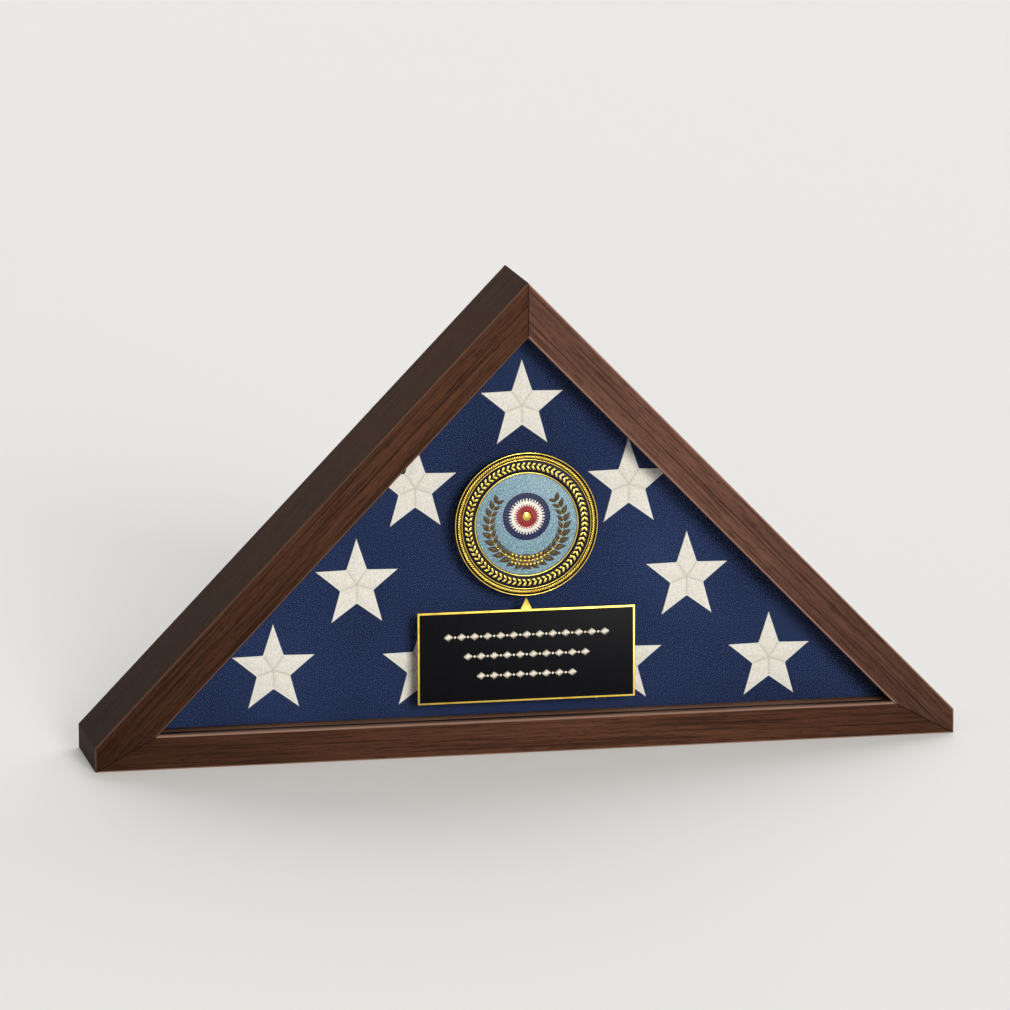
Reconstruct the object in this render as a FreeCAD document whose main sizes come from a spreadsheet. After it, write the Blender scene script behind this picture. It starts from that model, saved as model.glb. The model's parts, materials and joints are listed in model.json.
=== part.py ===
"""Folded flag display case. X is to the right, Y to the rear and Z up, from under the middle of the base."""
import FreeCAD, Part
import os
import re
import Sketcher
from FreeCAD import Placement, Rotation, Vector

SIZES = {
    "case_width": 660,
    "case_height": 358.5,
    "case_depth": 89,
    "tip_height": 18.5,
    "side_face": 29,
    "base_face": 26,
    "rail_wall": 18,
    "lip_depth": 12,
    "outer_round": 1.5,
    "inner_round": 2,
    "rabbet_width": 5,
    "spline_width": 18,
    "spline_height": 11,
    "spline_thickness": 4,
    "spline_fit": 0.1,
    "spline_lift": 3,
    "nail_radius": 0.9,
    "nail_length": 22,
    "nail_spacing": 44,
    "nail_sink": 1,
    "nail_inset": 3,
    "glass_thickness": 3,
    "glass_gap": 0.5,
    "glass_tip": 5,
    "stop_depth": 16,
    "stop_reveal": 1,
    "brad_radius": 0.6,
    "brad_length": 14,
    "brad_reach": 140,
    "star_gap": 0.3,
    "star_thickness": 0.7,
    "star_radius": 33,
    "star_notch": 13.2,
    "star_tall_share": 1.07,
    "star_side_shift": 1.2,
    "star_top_height": 260,
    "star_second_height": 198.5,
    "star_second_reach": 82,
    "star_third_height": 126,
    "star_third_reach": 127,
    "star_low_height": 62,
    "star_low_reach": 76,
    "star_tip_reach": 191,
    "star_lean_angle": 1,
    "star_margin": 0.5,
    "flag_pad_gap": 0.3,
    "flag_side_gap": 0.5,
    "flag_seat_gap": 0.3,
    "flag_tip": 16,
    "flag_round": 6,
    "flag_corner": 8,
    "tape_thickness": 0.8,
    "plate_width": 167,
    "plate_height": 70.5,
    "plate_gap": 12,
    "plate_thickness": 1.2,
    "plate_border": 1.5,
    "plate_face_thickness": 0.5,
    "plate_tape_margin": 10,
    "pointer_width": 8.5,
    "pointer_height": 9.5,
    "medal_radius": 54.7,
    "medal_gap": 1,
    "medal_fit": 0.1,
    "medal_thickness": 1.6,
    "medal_tape_margin": 12.7,
    "rim_width": 5.7,
    "rim_rise": 1.8,
    "band_width": 8.8,
    "band_rise": 0.5,
    "ring_width": 1.6,
    "ring_rise": 0.9,
    "field_rise": 0.5,
    "rosette_radius": 18,
    "rosette_rise": 1.6,
    "rosette_lift": 6,
    "wreath_margin": 4.6,
    "wreath_width": 11.5,
    "wreath_rise": 1.2,
    "wreath_half_angle": 138,
    "panel_thickness": 4,
    "panel_side_gap": 1.8,
    "panel_base_gap": 0.8,
    "panel_tip_cover": 1,
    "pad_thickness": 10.2,
    "pad_gap": 3,
    "pad_tip": 50,
    "hinge_reach": 180,
    "hinge_length": 40,
    "leaf_height": 11,
    "leaf_thickness": 1,
    "knuckle_radius": 2.3,
    "knuckle_share": 13.2,
    "hinge_gap": 0.3,
    "pin_radius": 1,
    "pin_fit": 0.05,
    "pin_head_radius": 1.8,
    "pin_head_height": 0.8,
    "hinge_screw_reach": 13,
    "screw_head_radius": 2.4,
    "screw_head_height": 1.4,
    "screw_shank_radius": 1.2,
    "screw_hole_fit": 0.15,
    "screw_length": 12,
    "panel_screw_cover": 0.6,
    "block_height": 24,
    "block_gap": 0.3,
    "magnet_radius": 5,
    "magnet_thickness": 5,
    "magnet_fit": 0.1,
    "magnet_drop": 16,
    "strike_radius": 7,
    "strike_thickness": 1,
    "strike_gap": 0.3,
    "tab_width": 12,
    "tab_length": 36,
    "tab_thickness": 1.5,
    "tab_drop": 62,
    "hanger_reach": 95,
    "strap_width": 8,
    "strap_length": 20,
    "strap_thickness": 1,
    "strap_screw_margin": 3,
    "ring_wire_radius": 0.9,
    "ring_side_gap": 0.2,
    "ring_leg": 5,
    "eye_lift": 0.5,
    "eye_fit": 0.1,
    "eye_radius": 2,
    "bumper_radius": 5,
    "bumper_height": 6,
    "bumper_tip_inset": 34,
    "bumper_high_reach": 40,
}

doc = FreeCAD.newDocument("flag_case")
sheet = doc.addObject("Spreadsheet::Sheet", "sizes")
for row, (alias, size) in enumerate(SIZES.items(), 1):
    sheet.set(f"A{row}", str(size))
    sheet.setAlias(f"A{row}", alias)
doc.recompute()
nodes = []


def bound(text):
    """Points every size that an expression names at its cell."""
    return re.sub(r"[a-z]+(?:_[a-z]+)+", lambda found: f"sizes.{found[0]}", str(text))


def number(text):
    return float(sheet.evalExpression(bound(text)))


def bind(thing, **expressions):
    for name, text in expressions.items():
        thing.setExpression(name, bound(text))


def node(label, thing):
    thing.Label = label
    nodes.append(thing)
    return thing


SLOPE = "((case_height - tip_height) / (case_width / 2))"
SECANT = f"sqrt(1 + {SLOPE} ^ 2)"
TILT = f"atan({SLOPE})"
FRONT = "(-case_depth / 2)"
REAR = "(case_depth / 2)"
RIM = "(rail_wall - rabbet_width)"


def apex(inset):
    """Height of the apex of the outline moved inwards by an inset."""
    return f"(case_height - ({inset}) * {SECANT})"


def side_x(inset, height):
    """Half width, at a height, of the outline moved inwards by an inset."""
    return f"(({apex(inset)} - ({height})) / {SLOPE})"


def side_z(inset, reach):
    """Height, at a half width, of the outline moved inwards by an inset."""
    return f"({apex(inset)} - ({reach}) * {SLOPE})"


LIP_X = side_x("side_face", "base_face")
MITRE = f"(base_face / (case_width / 2 - {LIP_X}))"
TOE_X = f"(({apex('rail_wall')} - {MITRE} * case_width / 2) / ({SLOPE} - {MITRE}))"
TOE_Z = f"({MITRE} * (case_width / 2 - {TOE_X}))"
HEEL_X = side_x("rail_wall", "rail_wall")


def plane(body, role):
    return [feature for feature in body.Origin.OriginFeatures if feature.Role == role][0]


def sketch(body, role, offset, loops):
    """Draws closed loops of (across, up) expressions, every corner held by its own two distances."""
    drawing = body.newObject("Sketcher::SketchObject", "outline")
    drawing.AttachmentSupport = (plane(body, role), [""])
    drawing.MapMode = "FlatFace"
    bind(drawing, **{"AttachmentOffset.Base.z": offset})
    for loop in loops:
        first = drawing.GeometryCount
        places = [Vector(number(across), number(up), 0) for across, up in loop]
        count = len(places)
        for index in range(count):
            drawing.addGeometry(Part.LineSegment(places[index], places[(index + 1) % count]), False)
        for index in range(count):
            following = first + (index + 1) % count
            drawing.addConstraint(Sketcher.Constraint("Coincident", first + index, 2, following, 1))
        for index, (across, up) in enumerate(loop):
            for kind, text in (("DistanceX", across), ("DistanceY", up)):
                held = drawing.addConstraint(Sketcher.Constraint(kind, first + index, 1, number(text)))
                bind(drawing, **{f"Constraints[{held}]": text})
    return drawing


def pad(body, start, length, loops):
    """Adds a prism of the loops in X and Z, from a Y rearwards."""
    feature = body.newObject("PartDesign::Pad", "prism")
    feature.Profile = sketch(body, "XZ_Plane", f"-({start})", loops)
    feature.Reversed = True
    bind(feature, Length=length)
    return feature


def pocket(body, start, length, loops):
    """Cuts a prism of the loops in X and Z, from a Y rearwards."""
    feature = body.newObject("PartDesign::Pocket", "hollow")
    feature.Profile = sketch(body, "XZ_Plane", f"-({start})", loops)
    bind(feature, Length=length)
    return feature


def prism(label, start, length, *loops):
    body = doc.addObject("PartDesign::Body", label)
    pad(body, start, length, loops)
    return body


def turned(label, profile, middle):
    """Turns a profile of (radius, Y) about the Y axis through a middle (X, Z)."""
    body = doc.addObject("PartDesign::Body", label)
    feature = body.newObject("PartDesign::Revolution", "turning")
    drawing = sketch(body, "XY_Plane", "0 * case_width", [profile])
    feature.Profile = drawing
    feature.ReferenceAxis = (drawing, ["V_Axis"])
    feature.Angle = 360
    bind(body, **{"Placement.Base.x": middle[0], "Placement.Base.z": middle[1]})
    return body


def fillet(body, radius, chosen):
    """Rounds the edges of the tip of a body that a test on their two end points picks."""
    doc.recompute()
    tip = body.Tip
    names = []
    for index, edge in enumerate(tip.Shape.Edges, 1):
        if len(edge.Vertexes) == 2 and chosen(edge.Vertexes[0].Point, edge.Vertexes[1].Point):
            names.append(f"Edge{index}")
    feature = body.newObject("PartDesign::Fillet", "rounding")
    feature.Base = (tip, names)
    bind(feature, Radius=radius)


def place(thing, x, y, z):
    bind(thing, **{"Placement.Base.x": x, "Placement.Base.y": y, "Placement.Base.z": z})
    return thing


TURNS = {"x": Rotation(Vector(0, 1, 0), 90), "y": Rotation(Vector(1, 0, 0), -90), "z": Rotation()}


def rod(axis, start, radius, length):
    """Cylinder from a start point along an axis."""
    thing = doc.addObject("Part::Cylinder", "rod")
    thing.Placement = Placement(Vector(), TURNS[axis])
    bind(thing, Radius=radius, Height=length)
    return place(thing, *start)


def block(start, size):
    thing = doc.addObject("Part::Box", "block")
    bind(thing, Length=size[0], Width=size[1], Height=size[2])
    return place(thing, *start)


def joined(*things):
    whole = doc.addObject("Part::MultiFuse", "joined")
    whole.Shapes = list(things)
    return whole


def less(base, tool):
    rest = doc.addObject("Part::Cut", "rest")
    rest.Base = base
    rest.Tool = tool
    return rest


def group(things):
    whole = doc.addObject("Part::Compound", "group")
    whole.Links = list(things)
    return whole


def tilted(thing, turn):
    """Turns a thing about the Y axis by an angle expression."""
    thing.Placement = Placement(Vector(), Rotation(Vector(0, 1, 0), 1))
    bind(thing, **{"Placement.Rotation.Angle": turn})
    return thing


def mirrored(loop, side):
    return [(f"{side} * ({across})", up) for across, up in loop]


def symmetric(half):
    """Closes a right-hand run of corners, bottom to top, with its mirror image."""
    other = [corner for corner in reversed(half) if corner[0] != ZERO]
    return half + mirrored(other, -1)


ZERO = "0 * case_width"
SIDES = {"left": -1, "right": 1}
SPLINE_BOTTOM = f"({apex('rail_wall')} + spline_lift)"
SPLINE_FRONT = "(-spline_thickness / 2)"


def spline_loop(fit):
    half = f"(spline_width / 2 + {fit})"
    low = f"({SPLINE_BOTTOM} - {fit})"
    high = f"({SPLINE_BOTTOM} + spline_height + {fit})"
    return [(half, low), (half, high), (f"-{half}", high), (f"-{half}", low)]


RABBET = symmetric([
    (side_x("rail_wall", RIM), RIM),
    (side_x("rail_wall", RIM), side_z(RIM, side_x("rail_wall", RIM))),
    (ZERO, apex(RIM)),
])
LEDGE = f"({REAR} - panel_thickness)"


def on_front(*points):
    return all(abs(point.y - number(FRONT)) < 1e-4 for point in points)


def inside_lip(point):
    gap = number(apex("side_face")) - number(SLOPE) * abs(point.x) - point.z
    return abs(gap) < 1e-3


def side_rail(name, side):
    outer = [("case_width / 2", ZERO), ("case_width / 2", "tip_height"), (ZERO, "case_height")]
    body = prism(f"{name}_rail", FRONT, "case_depth", mirrored(outer + [
        (ZERO, apex("rail_wall")),
        (TOE_X, TOE_Z),
    ], side))
    pad(body, FRONT, "lip_depth", [mirrored(outer + [(ZERO, apex("side_face")), (LIP_X, "base_face")], side)])
    pocket(body, LEDGE, "panel_thickness", [RABBET])
    slot = "spline_thickness + 2 * spline_fit"
    pocket(body, f"{SPLINE_FRONT} - spline_fit", slot, [spline_loop("spline_fit")])
    half = number("case_width / 2")

    def outer_edge(one, two):
        low = min(abs(one.x), abs(two.x)) > half - 1e-4
        slant = abs(one.x - two.x) > half - 1
        return on_front(one, two) and (low or slant)

    def lip_edge(one, two):
        return on_front(one, two) and inside_lip(one) and inside_lip(two)

    fillet(body, "outer_round", outer_edge)
    fillet(body, "inner_round", lip_edge)
    node(f"{name}_rail", body)


for name, side in SIDES.items():
    side_rail(name, side)

GLASS_FRONT = f"({FRONT} + lip_depth)"
base = prism("bottom_rail", GLASS_FRONT, "case_depth - lip_depth", symmetric([
    ("case_width / 2", ZERO),
    (TOE_X, TOE_Z),
    (HEEL_X, "rail_wall"),
]))
pad(base, FRONT, "lip_depth", [symmetric([("case_width / 2", ZERO), (LIP_X, "base_face")])])
pocket(base, LEDGE, "panel_thickness", [RABBET])


def under_base(one, two):
    return on_front(one, two) and max(one.z, two.z) < 1e-4


def on_base_lip(one, two):
    return on_front(one, two) and min(one.z, two.z) > number("base_face") - 1e-4


fillet(base, "outer_round", under_base)
fillet(base, "inner_round", on_base_lip)
node("bottom_rail", base)

node("apex_spline", prism("apex_spline", SPLINE_FRONT, "spline_thickness", spline_loop("0")))

NAIL_X = f"(({TOE_X} + case_width / 2) / 2 - nail_inset)"
node("corner_nails", group(
    rod("z", (f"{side} * {NAIL_X}", f"{row} * nail_spacing / 2", "nail_sink"), "nail_radius", "nail_length")
    for side in SIDES.values() for row in (-1, 1)
))

GLASS_REAR = f"({GLASS_FRONT} + glass_thickness)"
GLASS_BASE = "(rail_wall + glass_gap)"
GLASS_X = side_x("rail_wall + glass_gap", f"{GLASS_BASE} + glass_tip")
node("glass_pane", prism("glass_pane", GLASS_FRONT, "glass_thickness", symmetric([
    (GLASS_X, GLASS_BASE),
    (GLASS_X, f"{GLASS_BASE} + glass_tip"),
    (ZERO, apex("rail_wall + glass_gap")),
])))

STOP_SIDE = "(side_face - stop_reveal)"
STOP_BASE = "(base_face - stop_reveal)"
STOP_X = side_x(STOP_SIDE, STOP_BASE)
for name, side in SIDES.items():
    node(f"{name}_stop", prism(f"{name}_stop", GLASS_REAR, "stop_depth", mirrored([
        (ZERO, apex("rail_wall")),
        (ZERO, apex(STOP_SIDE)),
        (STOP_X, STOP_BASE),
        (HEEL_X, "rail_wall"),
    ], side)))
node("bottom_stop", prism("bottom_stop", GLASS_REAR, "stop_depth", symmetric([
    (HEEL_X, "rail_wall"),
    (STOP_X, STOP_BASE),
])))

BRAD_Y = f"({GLASS_REAR} + stop_depth / 2)"


def brads():
    for side in SIDES.values():
        low = rod("z", (ZERO, ZERO, ZERO), "brad_radius", "brad_length")
        yield place(low, f"{side} * brad_reach", BRAD_Y, f"{STOP_BASE} - brad_length")
        for reach in ("brad_reach * 0.5", "brad_reach * 1.4"):
            high = tilted(rod("z", (ZERO, ZERO, ZERO), "brad_radius", "brad_length"), f"{side} * {TILT}")
            yield place(high, f"{side} * ({reach})", BRAD_Y, side_z(STOP_SIDE, reach))


node("stop_brads", group(brads()))

STAR_FRONT = f"({GLASS_REAR} + stop_depth + star_gap)"
FLAG_FRONT = f"({STAR_FRONT} + star_thickness)"
FLAG_SIDE = "(rail_wall + flag_side_gap)"
FLAG_BASE = "(rail_wall + flag_seat_gap)"
FLAG_X = side_x(FLAG_SIDE, f"{FLAG_BASE} + flag_tip")
FLAG_REAR = f"({LEDGE} - pad_thickness - flag_pad_gap)"
flag = prism("folded_flag", FLAG_FRONT, f"{FLAG_REAR} - {FLAG_FRONT}", symmetric([
    (FLAG_X, FLAG_BASE),
    (FLAG_X, f"{FLAG_BASE} + flag_tip"),
    (ZERO, apex(FLAG_SIDE)),
]))
fillet(flag, "flag_corner", lambda one, two: abs(one.y - two.y) > 1)
fillet(flag, "flag_round", lambda one, two: abs(one.y - two.y) < 1e-4)
node("folded_flag", flag)

STARS = [
    (0, "star_tip_reach", "star_top_height"),
    (-1, "star_second_reach", "star_second_height"),
    (1, "star_second_reach", "star_second_height"),
    (-1, "star_third_reach", "star_third_height"),
    (1, "star_third_reach", "star_third_height"),
    (-1, "star_low_reach", "star_low_height"),
    (1, "star_low_reach", "star_low_height"),
    (-1, "star_tip_reach", "star_low_height"),
    (1, "star_tip_reach", "star_low_height"),
]


def star_loop(side, reach, height):
    """Outline of a star, drawn out upwards by a share, upright in a row that falls a little to the right."""
    corners = []
    for index in range(10):
        radius = "star_notch" if index % 2 else "star_radius"
        turn = 36 * index
        corners.append((
            f"star_side_shift + {side} * {reach} + {radius} * sin({turn})",
            f"{height} - {side} * {reach} * tan(star_lean_angle) + {radius} * star_tall_share * cos({turn})",
        ))
    return corners


FLAT_SIDE = f"({FLAG_SIDE} + flag_round + star_margin)"
FLAT_BASE = f"({FLAG_BASE} + flag_round + star_margin)"
sewn = prism("sewn", STAR_FRONT, "star_thickness", *[star_loop(*star) for star in STARS])
flat = prism("flat", f"{STAR_FRONT} - 1", "star_thickness + 2", symmetric([
    (side_x(FLAT_SIDE, FLAT_BASE), FLAT_BASE),
    (ZERO, apex(FLAT_SIDE)),
]))
stars = doc.addObject("Part::Common", "stars")
stars.Base = sewn
stars.Tool = flat
node("flag_stars", stars)

TAPE_FRONT = f"({GLASS_FRONT} - tape_thickness)"
PLATE_FRONT = f"({TAPE_FRONT} - plate_thickness)"
PLATE_BOTTOM = "(base_face + plate_gap)"
PLATE_TOP = f"({PLATE_BOTTOM} + plate_height)"


def plate_loop(margin):
    half = f"(plate_width / 2 - ({margin}))"
    low = f"({PLATE_BOTTOM} + ({margin}))"
    high = f"({PLATE_TOP} - ({margin}))"
    return [(half, low), (half, high), (f"-{half}", high), (f"-{half}", low)]


node("nameplate_tape", prism(
    "nameplate_tape", TAPE_FRONT, "tape_thickness", plate_loop("plate_tape_margin"),
))
node("nameplate_backing", prism("nameplate_backing", PLATE_FRONT, "plate_thickness", plate_loop("0")))
FACE_FRONT = f"({PLATE_FRONT} - plate_face_thickness)"
node("nameplate_face", prism(
    "nameplate_face", FACE_FRONT, "plate_face_thickness", plate_loop("plate_border"),
))
node("nameplate_pointer", prism("nameplate_pointer", PLATE_FRONT, "plate_thickness", symmetric([
    ("pointer_width * 0.36", PLATE_TOP),
    ("pointer_width * 0.5", f"{PLATE_TOP} + pointer_height * 0.22"),
    ("pointer_width * 0.2", f"{PLATE_TOP} + pointer_height * 0.62"),
    (ZERO, f"{PLATE_TOP} + pointer_height"),
])))

MEDAL_FRONT = f"({TAPE_FRONT} - medal_thickness)"
FIELD_FRONT = f"({MEDAL_FRONT} - field_rise)"
MEDAL_Z = f"({PLATE_TOP} + pointer_height + medal_gap + medal_radius)"
MEDAL = (ZERO, MEDAL_Z)
RIM_INNER = "(medal_radius - rim_width)"
BAND_INNER = f"({RIM_INNER} - band_width)"
RING_INNER = f"({BAND_INNER} - ring_width)"
WREATH_OUTER = f"({RING_INNER} - wreath_margin)"


def washer(inner, outer, rear, rise):
    """Flat ring profile that stands forwards from a rear plane."""
    front = f"({rear} - {rise})"
    return [(inner, rear), (outer, rear), (outer, front), (inner, front)]


def domed(inner, outer, rear, rise):
    """Ring profile with its front corners taken off."""
    wide = f"({outer} - {inner})"
    front = f"({rear} - {rise})"
    knee = f"({rear} - {rise} * 0.45)"
    return [
        (inner, rear), (outer, rear), (outer, knee),
        (f"{outer} - {wide} * 0.3", front), (f"{inner} + {wide} * 0.3", front), (inner, knee),
    ]


def medal(label, profile):
    node(label, turned(label, profile, MEDAL))


medal("medallion_tape", washer(ZERO, "(medal_radius - medal_tape_margin)", GLASS_FRONT, "tape_thickness"))
medal("medallion_disc", washer(ZERO, "medal_radius", TAPE_FRONT, "medal_thickness"))
medal("medallion_rim", domed(RIM_INNER, "medal_radius", MEDAL_FRONT, "rim_rise"))
medal("medallion_band", washer(BAND_INNER, f"({RIM_INNER} - medal_fit)", MEDAL_FRONT, "band_rise"))
medal("medallion_ring", domed(RING_INNER, f"({BAND_INNER} - medal_fit)", MEDAL_FRONT, "ring_rise"))
medal("medallion_field", washer(ZERO, f"({RING_INNER} - medal_fit)", MEDAL_FRONT, "field_rise"))
node("medallion_rosette", turned("medallion_rosette", [
    (ZERO, FIELD_FRONT),
    ("rosette_radius", FIELD_FRONT),
    ("rosette_radius", f"{FIELD_FRONT} - rosette_rise * 0.4"),
    ("rosette_radius * 0.3", f"{FIELD_FRONT} - rosette_rise"),
    (ZERO, f"{FIELD_FRONT} - rosette_rise"),
], (ZERO, f"{MEDAL_Z} + rosette_lift")))


def wreath_loop():
    """Open ring of the two branches, parted at the top."""
    corners = []
    for radius, order in ((WREATH_OUTER, 1), (f"{WREATH_OUTER} - wreath_width", -1)):
        for index in range(25)[::order]:
            turn = f"(180 + wreath_half_angle * {index / 12 - 1})"
            corners.append((f"({radius}) * sin({turn})", f"{MEDAL_Z} + ({radius}) * cos({turn})"))
    return corners


node("medallion_wreath", prism(
    "medallion_wreath", f"{FIELD_FRONT} - wreath_rise", "wreath_rise", wreath_loop(),
))

PANEL_SIDE = f"({RIM} + panel_side_gap)"
PANEL_BASE = f"({RIM} + panel_base_gap)"
PANEL_X = f"({HEEL_X} + panel_tip_cover)"
node("back_panel", prism("back_panel", LEDGE, "panel_thickness", symmetric([
    (PANEL_X, PANEL_BASE),
    (PANEL_X, side_z(PANEL_SIDE, PANEL_X)),
    (ZERO, apex(PANEL_SIDE)),
])))

PAD_SIDE = "(rail_wall + pad_gap)"
PAD_TOP = f"({apex('rail_wall')} - block_height - pad_gap)"
PAD_X = side_x(PAD_SIDE, "rail_wall + pad_tip")
node("flag_pad", prism("flag_pad", f"{LEDGE} - pad_thickness", "pad_thickness", symmetric([
    (PAD_X, "rail_wall + pad_gap"),
    (PAD_X, "rail_wall + pad_tip"),
    (side_x(PAD_SIDE, PAD_TOP), PAD_TOP),
])))

PIVOT_Y = f"({REAR} + knuckle_radius + hinge_gap)"
PIVOT_Z = f"({RIM} + panel_base_gap / 2)"
CLEAR = "(knuckle_radius + hinge_gap)"
LEAF_REAR = f"({REAR} + leaf_thickness)"
LEAF_SCREW = f"(({CLEAR} + leaf_height) / 2)"
SCREW_BORE = "(screw_shank_radius + screw_hole_fit)"


def leaf(middle, upward, spans):
    """Plate on the rear face with webs and knuckles over spans of X, a pin bore and two screw holes."""
    start = f"({PIVOT_Z} + {CLEAR})" if upward else f"({PIVOT_Z} - leaf_height)"
    plate = ("hinge_length", "leaf_thickness", f"leaf_height - {CLEAR}")
    pieces = [block((f"{middle} - hinge_length / 2", REAR, start), plate)]
    web = PIVOT_Z if upward else f"({PIVOT_Z} - {CLEAR})"
    for begin, length in spans:
        pieces.append(block((f"{middle} + {begin}", REAR, web), (length, "leaf_thickness", CLEAR)))
        pieces.append(rod("x", (f"{middle} + {begin}", PIVOT_Y, PIVOT_Z), "knuckle_radius", length))
    bore_end = (f"{middle} - hinge_length", PIVOT_Y, PIVOT_Z)
    holes = [rod("x", bore_end, "pin_radius + pin_fit", "2 * hinge_length")]
    for x, z in leaf_screws(middle, upward):
        holes.append(rod("y", (x, f"{REAR} - 1", z), SCREW_BORE, "leaf_thickness + 2"))
    return less(joined(*pieces), joined(*holes))


def leaf_screws(middle, upward):
    height = f"{PIVOT_Z} {'+' if upward else '-'} {LEAF_SCREW}"
    return [(f"{middle} {sign} hinge_screw_reach", height) for sign in "-+"]


def screw(x, z, seat, length):
    """Pan-head screw driven forwards from a seat plane."""
    head = rod("y", (x, seat, z), "screw_head_radius", "screw_head_height")
    shank = rod("y", (x, f"{seat} - ({length})", z), "screw_shank_radius", length)
    return joined(head, shank)


PANEL_SCREW = "(panel_thickness - panel_screw_cover)"
OUTER = "(hinge_length / 2 - knuckle_share / 2 - hinge_gap)"
frame_spans = [("(-hinge_length / 2)", OUTER), (f"(hinge_length / 2 - {OUTER})", OUTER)]
door_spans = [("(-knuckle_share / 2)", "knuckle_share")]
frame_screws = []
door_screws = []
for name, side in SIDES.items():
    middle = f"({side} * hinge_reach)"
    node(f"{name}_hinge_frame_leaf", leaf(middle, False, frame_spans))
    node(f"{name}_hinge_door_leaf", leaf(middle, True, door_spans))
    start = f"{middle} - hinge_length / 2"
    node(f"{name}_hinge_pin", joined(
        rod("x", (start, PIVOT_Y, PIVOT_Z), "pin_radius", "hinge_length"),
        rod("x", (f"{start} - pin_head_height", PIVOT_Y, PIVOT_Z), "pin_head_radius", "pin_head_height"),
        rod("x", (f"{start} + hinge_length", PIVOT_Y, PIVOT_Z), "pin_head_radius", "pin_head_height"),
    ))
    for x, z in leaf_screws(middle, False):
        frame_screws.append(screw(x, z, LEAF_REAR, "leaf_thickness + screw_length"))
    for x, z in leaf_screws(middle, True):
        door_screws.append(screw(x, z, LEAF_REAR, f"leaf_thickness + {PANEL_SCREW}"))
node("hinge_frame_screws", group(frame_screws))
node("hinge_door_screws", group(door_screws))

STRIKE_FRONT = f"({LEDGE} - strike_thickness)"
BLOCK_FRONT = f"({FLAG_REAR} + block_gap)"
BLOCK_REAR = f"({STRIKE_FRONT} - strike_gap)"
BLOCK_BASE = f"({apex('rail_wall')} - block_height)"
MAGNET_Z = f"({apex('rail_wall')} - magnet_drop)"
wedge = prism("wedge", BLOCK_FRONT, f"{BLOCK_REAR} - {BLOCK_FRONT}", symmetric([
    (side_x("rail_wall", BLOCK_BASE), BLOCK_BASE),
    (ZERO, apex("rail_wall")),
]))
MAGNET_FRONT = f"({BLOCK_REAR} - magnet_thickness)"
node("apex_block", less(wedge, rod(
    "y", (ZERO, MAGNET_FRONT, MAGNET_Z), "magnet_radius + magnet_fit", "magnet_thickness + 1",
)))
node("catch_magnet", rod("y", (ZERO, MAGNET_FRONT, MAGNET_Z), "magnet_radius", "magnet_thickness"))
STRIKE_SCREW_REAR = f"({LEDGE} + {PANEL_SCREW})"
node("strike_plate", turned("strike_plate", [
    ("screw_head_radius + screw_hole_fit", STRIKE_FRONT),
    ("strike_radius", STRIKE_FRONT),
    ("strike_radius", LEDGE),
    (SCREW_BORE, LEDGE),
], (ZERO, MAGNET_Z)))
node("strike_screw", turned("strike_screw", [
    (ZERO, STRIKE_FRONT),
    ("screw_head_radius", STRIKE_FRONT),
    ("screw_shank_radius", LEDGE),
    ("screw_shank_radius", STRIKE_SCREW_REAR),
    (ZERO, STRIKE_SCREW_REAR),
], (ZERO, MAGNET_Z)))

TAB_TOP = f"({apex(PANEL_SIDE)} - tab_drop + tab_length)"
TAB_SCREW = f"({TAB_TOP} - tab_length + tab_width / 2)"
strap = prism("strap", REAR, "tab_thickness", symmetric([
    ("tab_width * 0.3", f"{TAB_TOP} - tab_length"),
    ("tab_width / 2", f"{TAB_TOP} - tab_length + tab_width * 0.2"),
    ("tab_width / 2", f"{TAB_TOP} - tab_width * 0.3"),
    ("tab_width * 0.2", TAB_TOP),
]))
node("pull_tab", less(strap, rod(
    "y", (ZERO, f"{REAR} - 1", TAB_SCREW), SCREW_BORE, "tab_thickness + 2",
)))
node("pull_tab_screw", screw(ZERO, TAB_SCREW, f"({REAR} + tab_thickness)", f"tab_thickness + {PANEL_SCREW}"))

RING_STAND = "(eye_radius + eye_lift)"
RING_HALF = "(strap_width / 2 + ring_side_gap + ring_wire_radius)"
STRAP_SCREW = "(strap_length - strap_screw_margin)"
HANGER_Y = f"({REAR} + {RING_STAND})"
HANGER_Z = side_z(f"{RIM} / 2", "hanger_reach")


def hang(thing, side):
    """Puts a piece drawn along X, from the ring axis down the rail, on one side rail."""
    turn = TILT if side > 0 else f"180 deg - {TILT}"
    return place(tilted(thing, turn), f"{side} * hanger_reach", HANGER_Y, HANGER_Z)


def hanger_strap():
    back = f"(-{RING_STAND})"
    plate = block((ZERO, back, "-strap_width / 2"), ("strap_length", "strap_thickness", "strap_width"))
    end = rod("y", ("strap_length", back, ZERO), "strap_width / 2", "strap_thickness")
    eye = rod("z", (ZERO, ZERO, "-strap_width / 2"), "eye_radius", "strap_width")
    bore = rod("z", (ZERO, ZERO, "-strap_width"), "ring_wire_radius + eye_fit", "2 * strap_width")
    hole = rod("y", (STRAP_SCREW, f"{back} - 1", ZERO), SCREW_BORE, "strap_thickness + 2")
    return less(joined(plate, end, eye), joined(bore, hole))


def ball(x, z):
    thing = doc.addObject("Part::Sphere", "ball")
    bind(thing, Radius="ring_wire_radius")
    return place(thing, x, ZERO, z)


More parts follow.
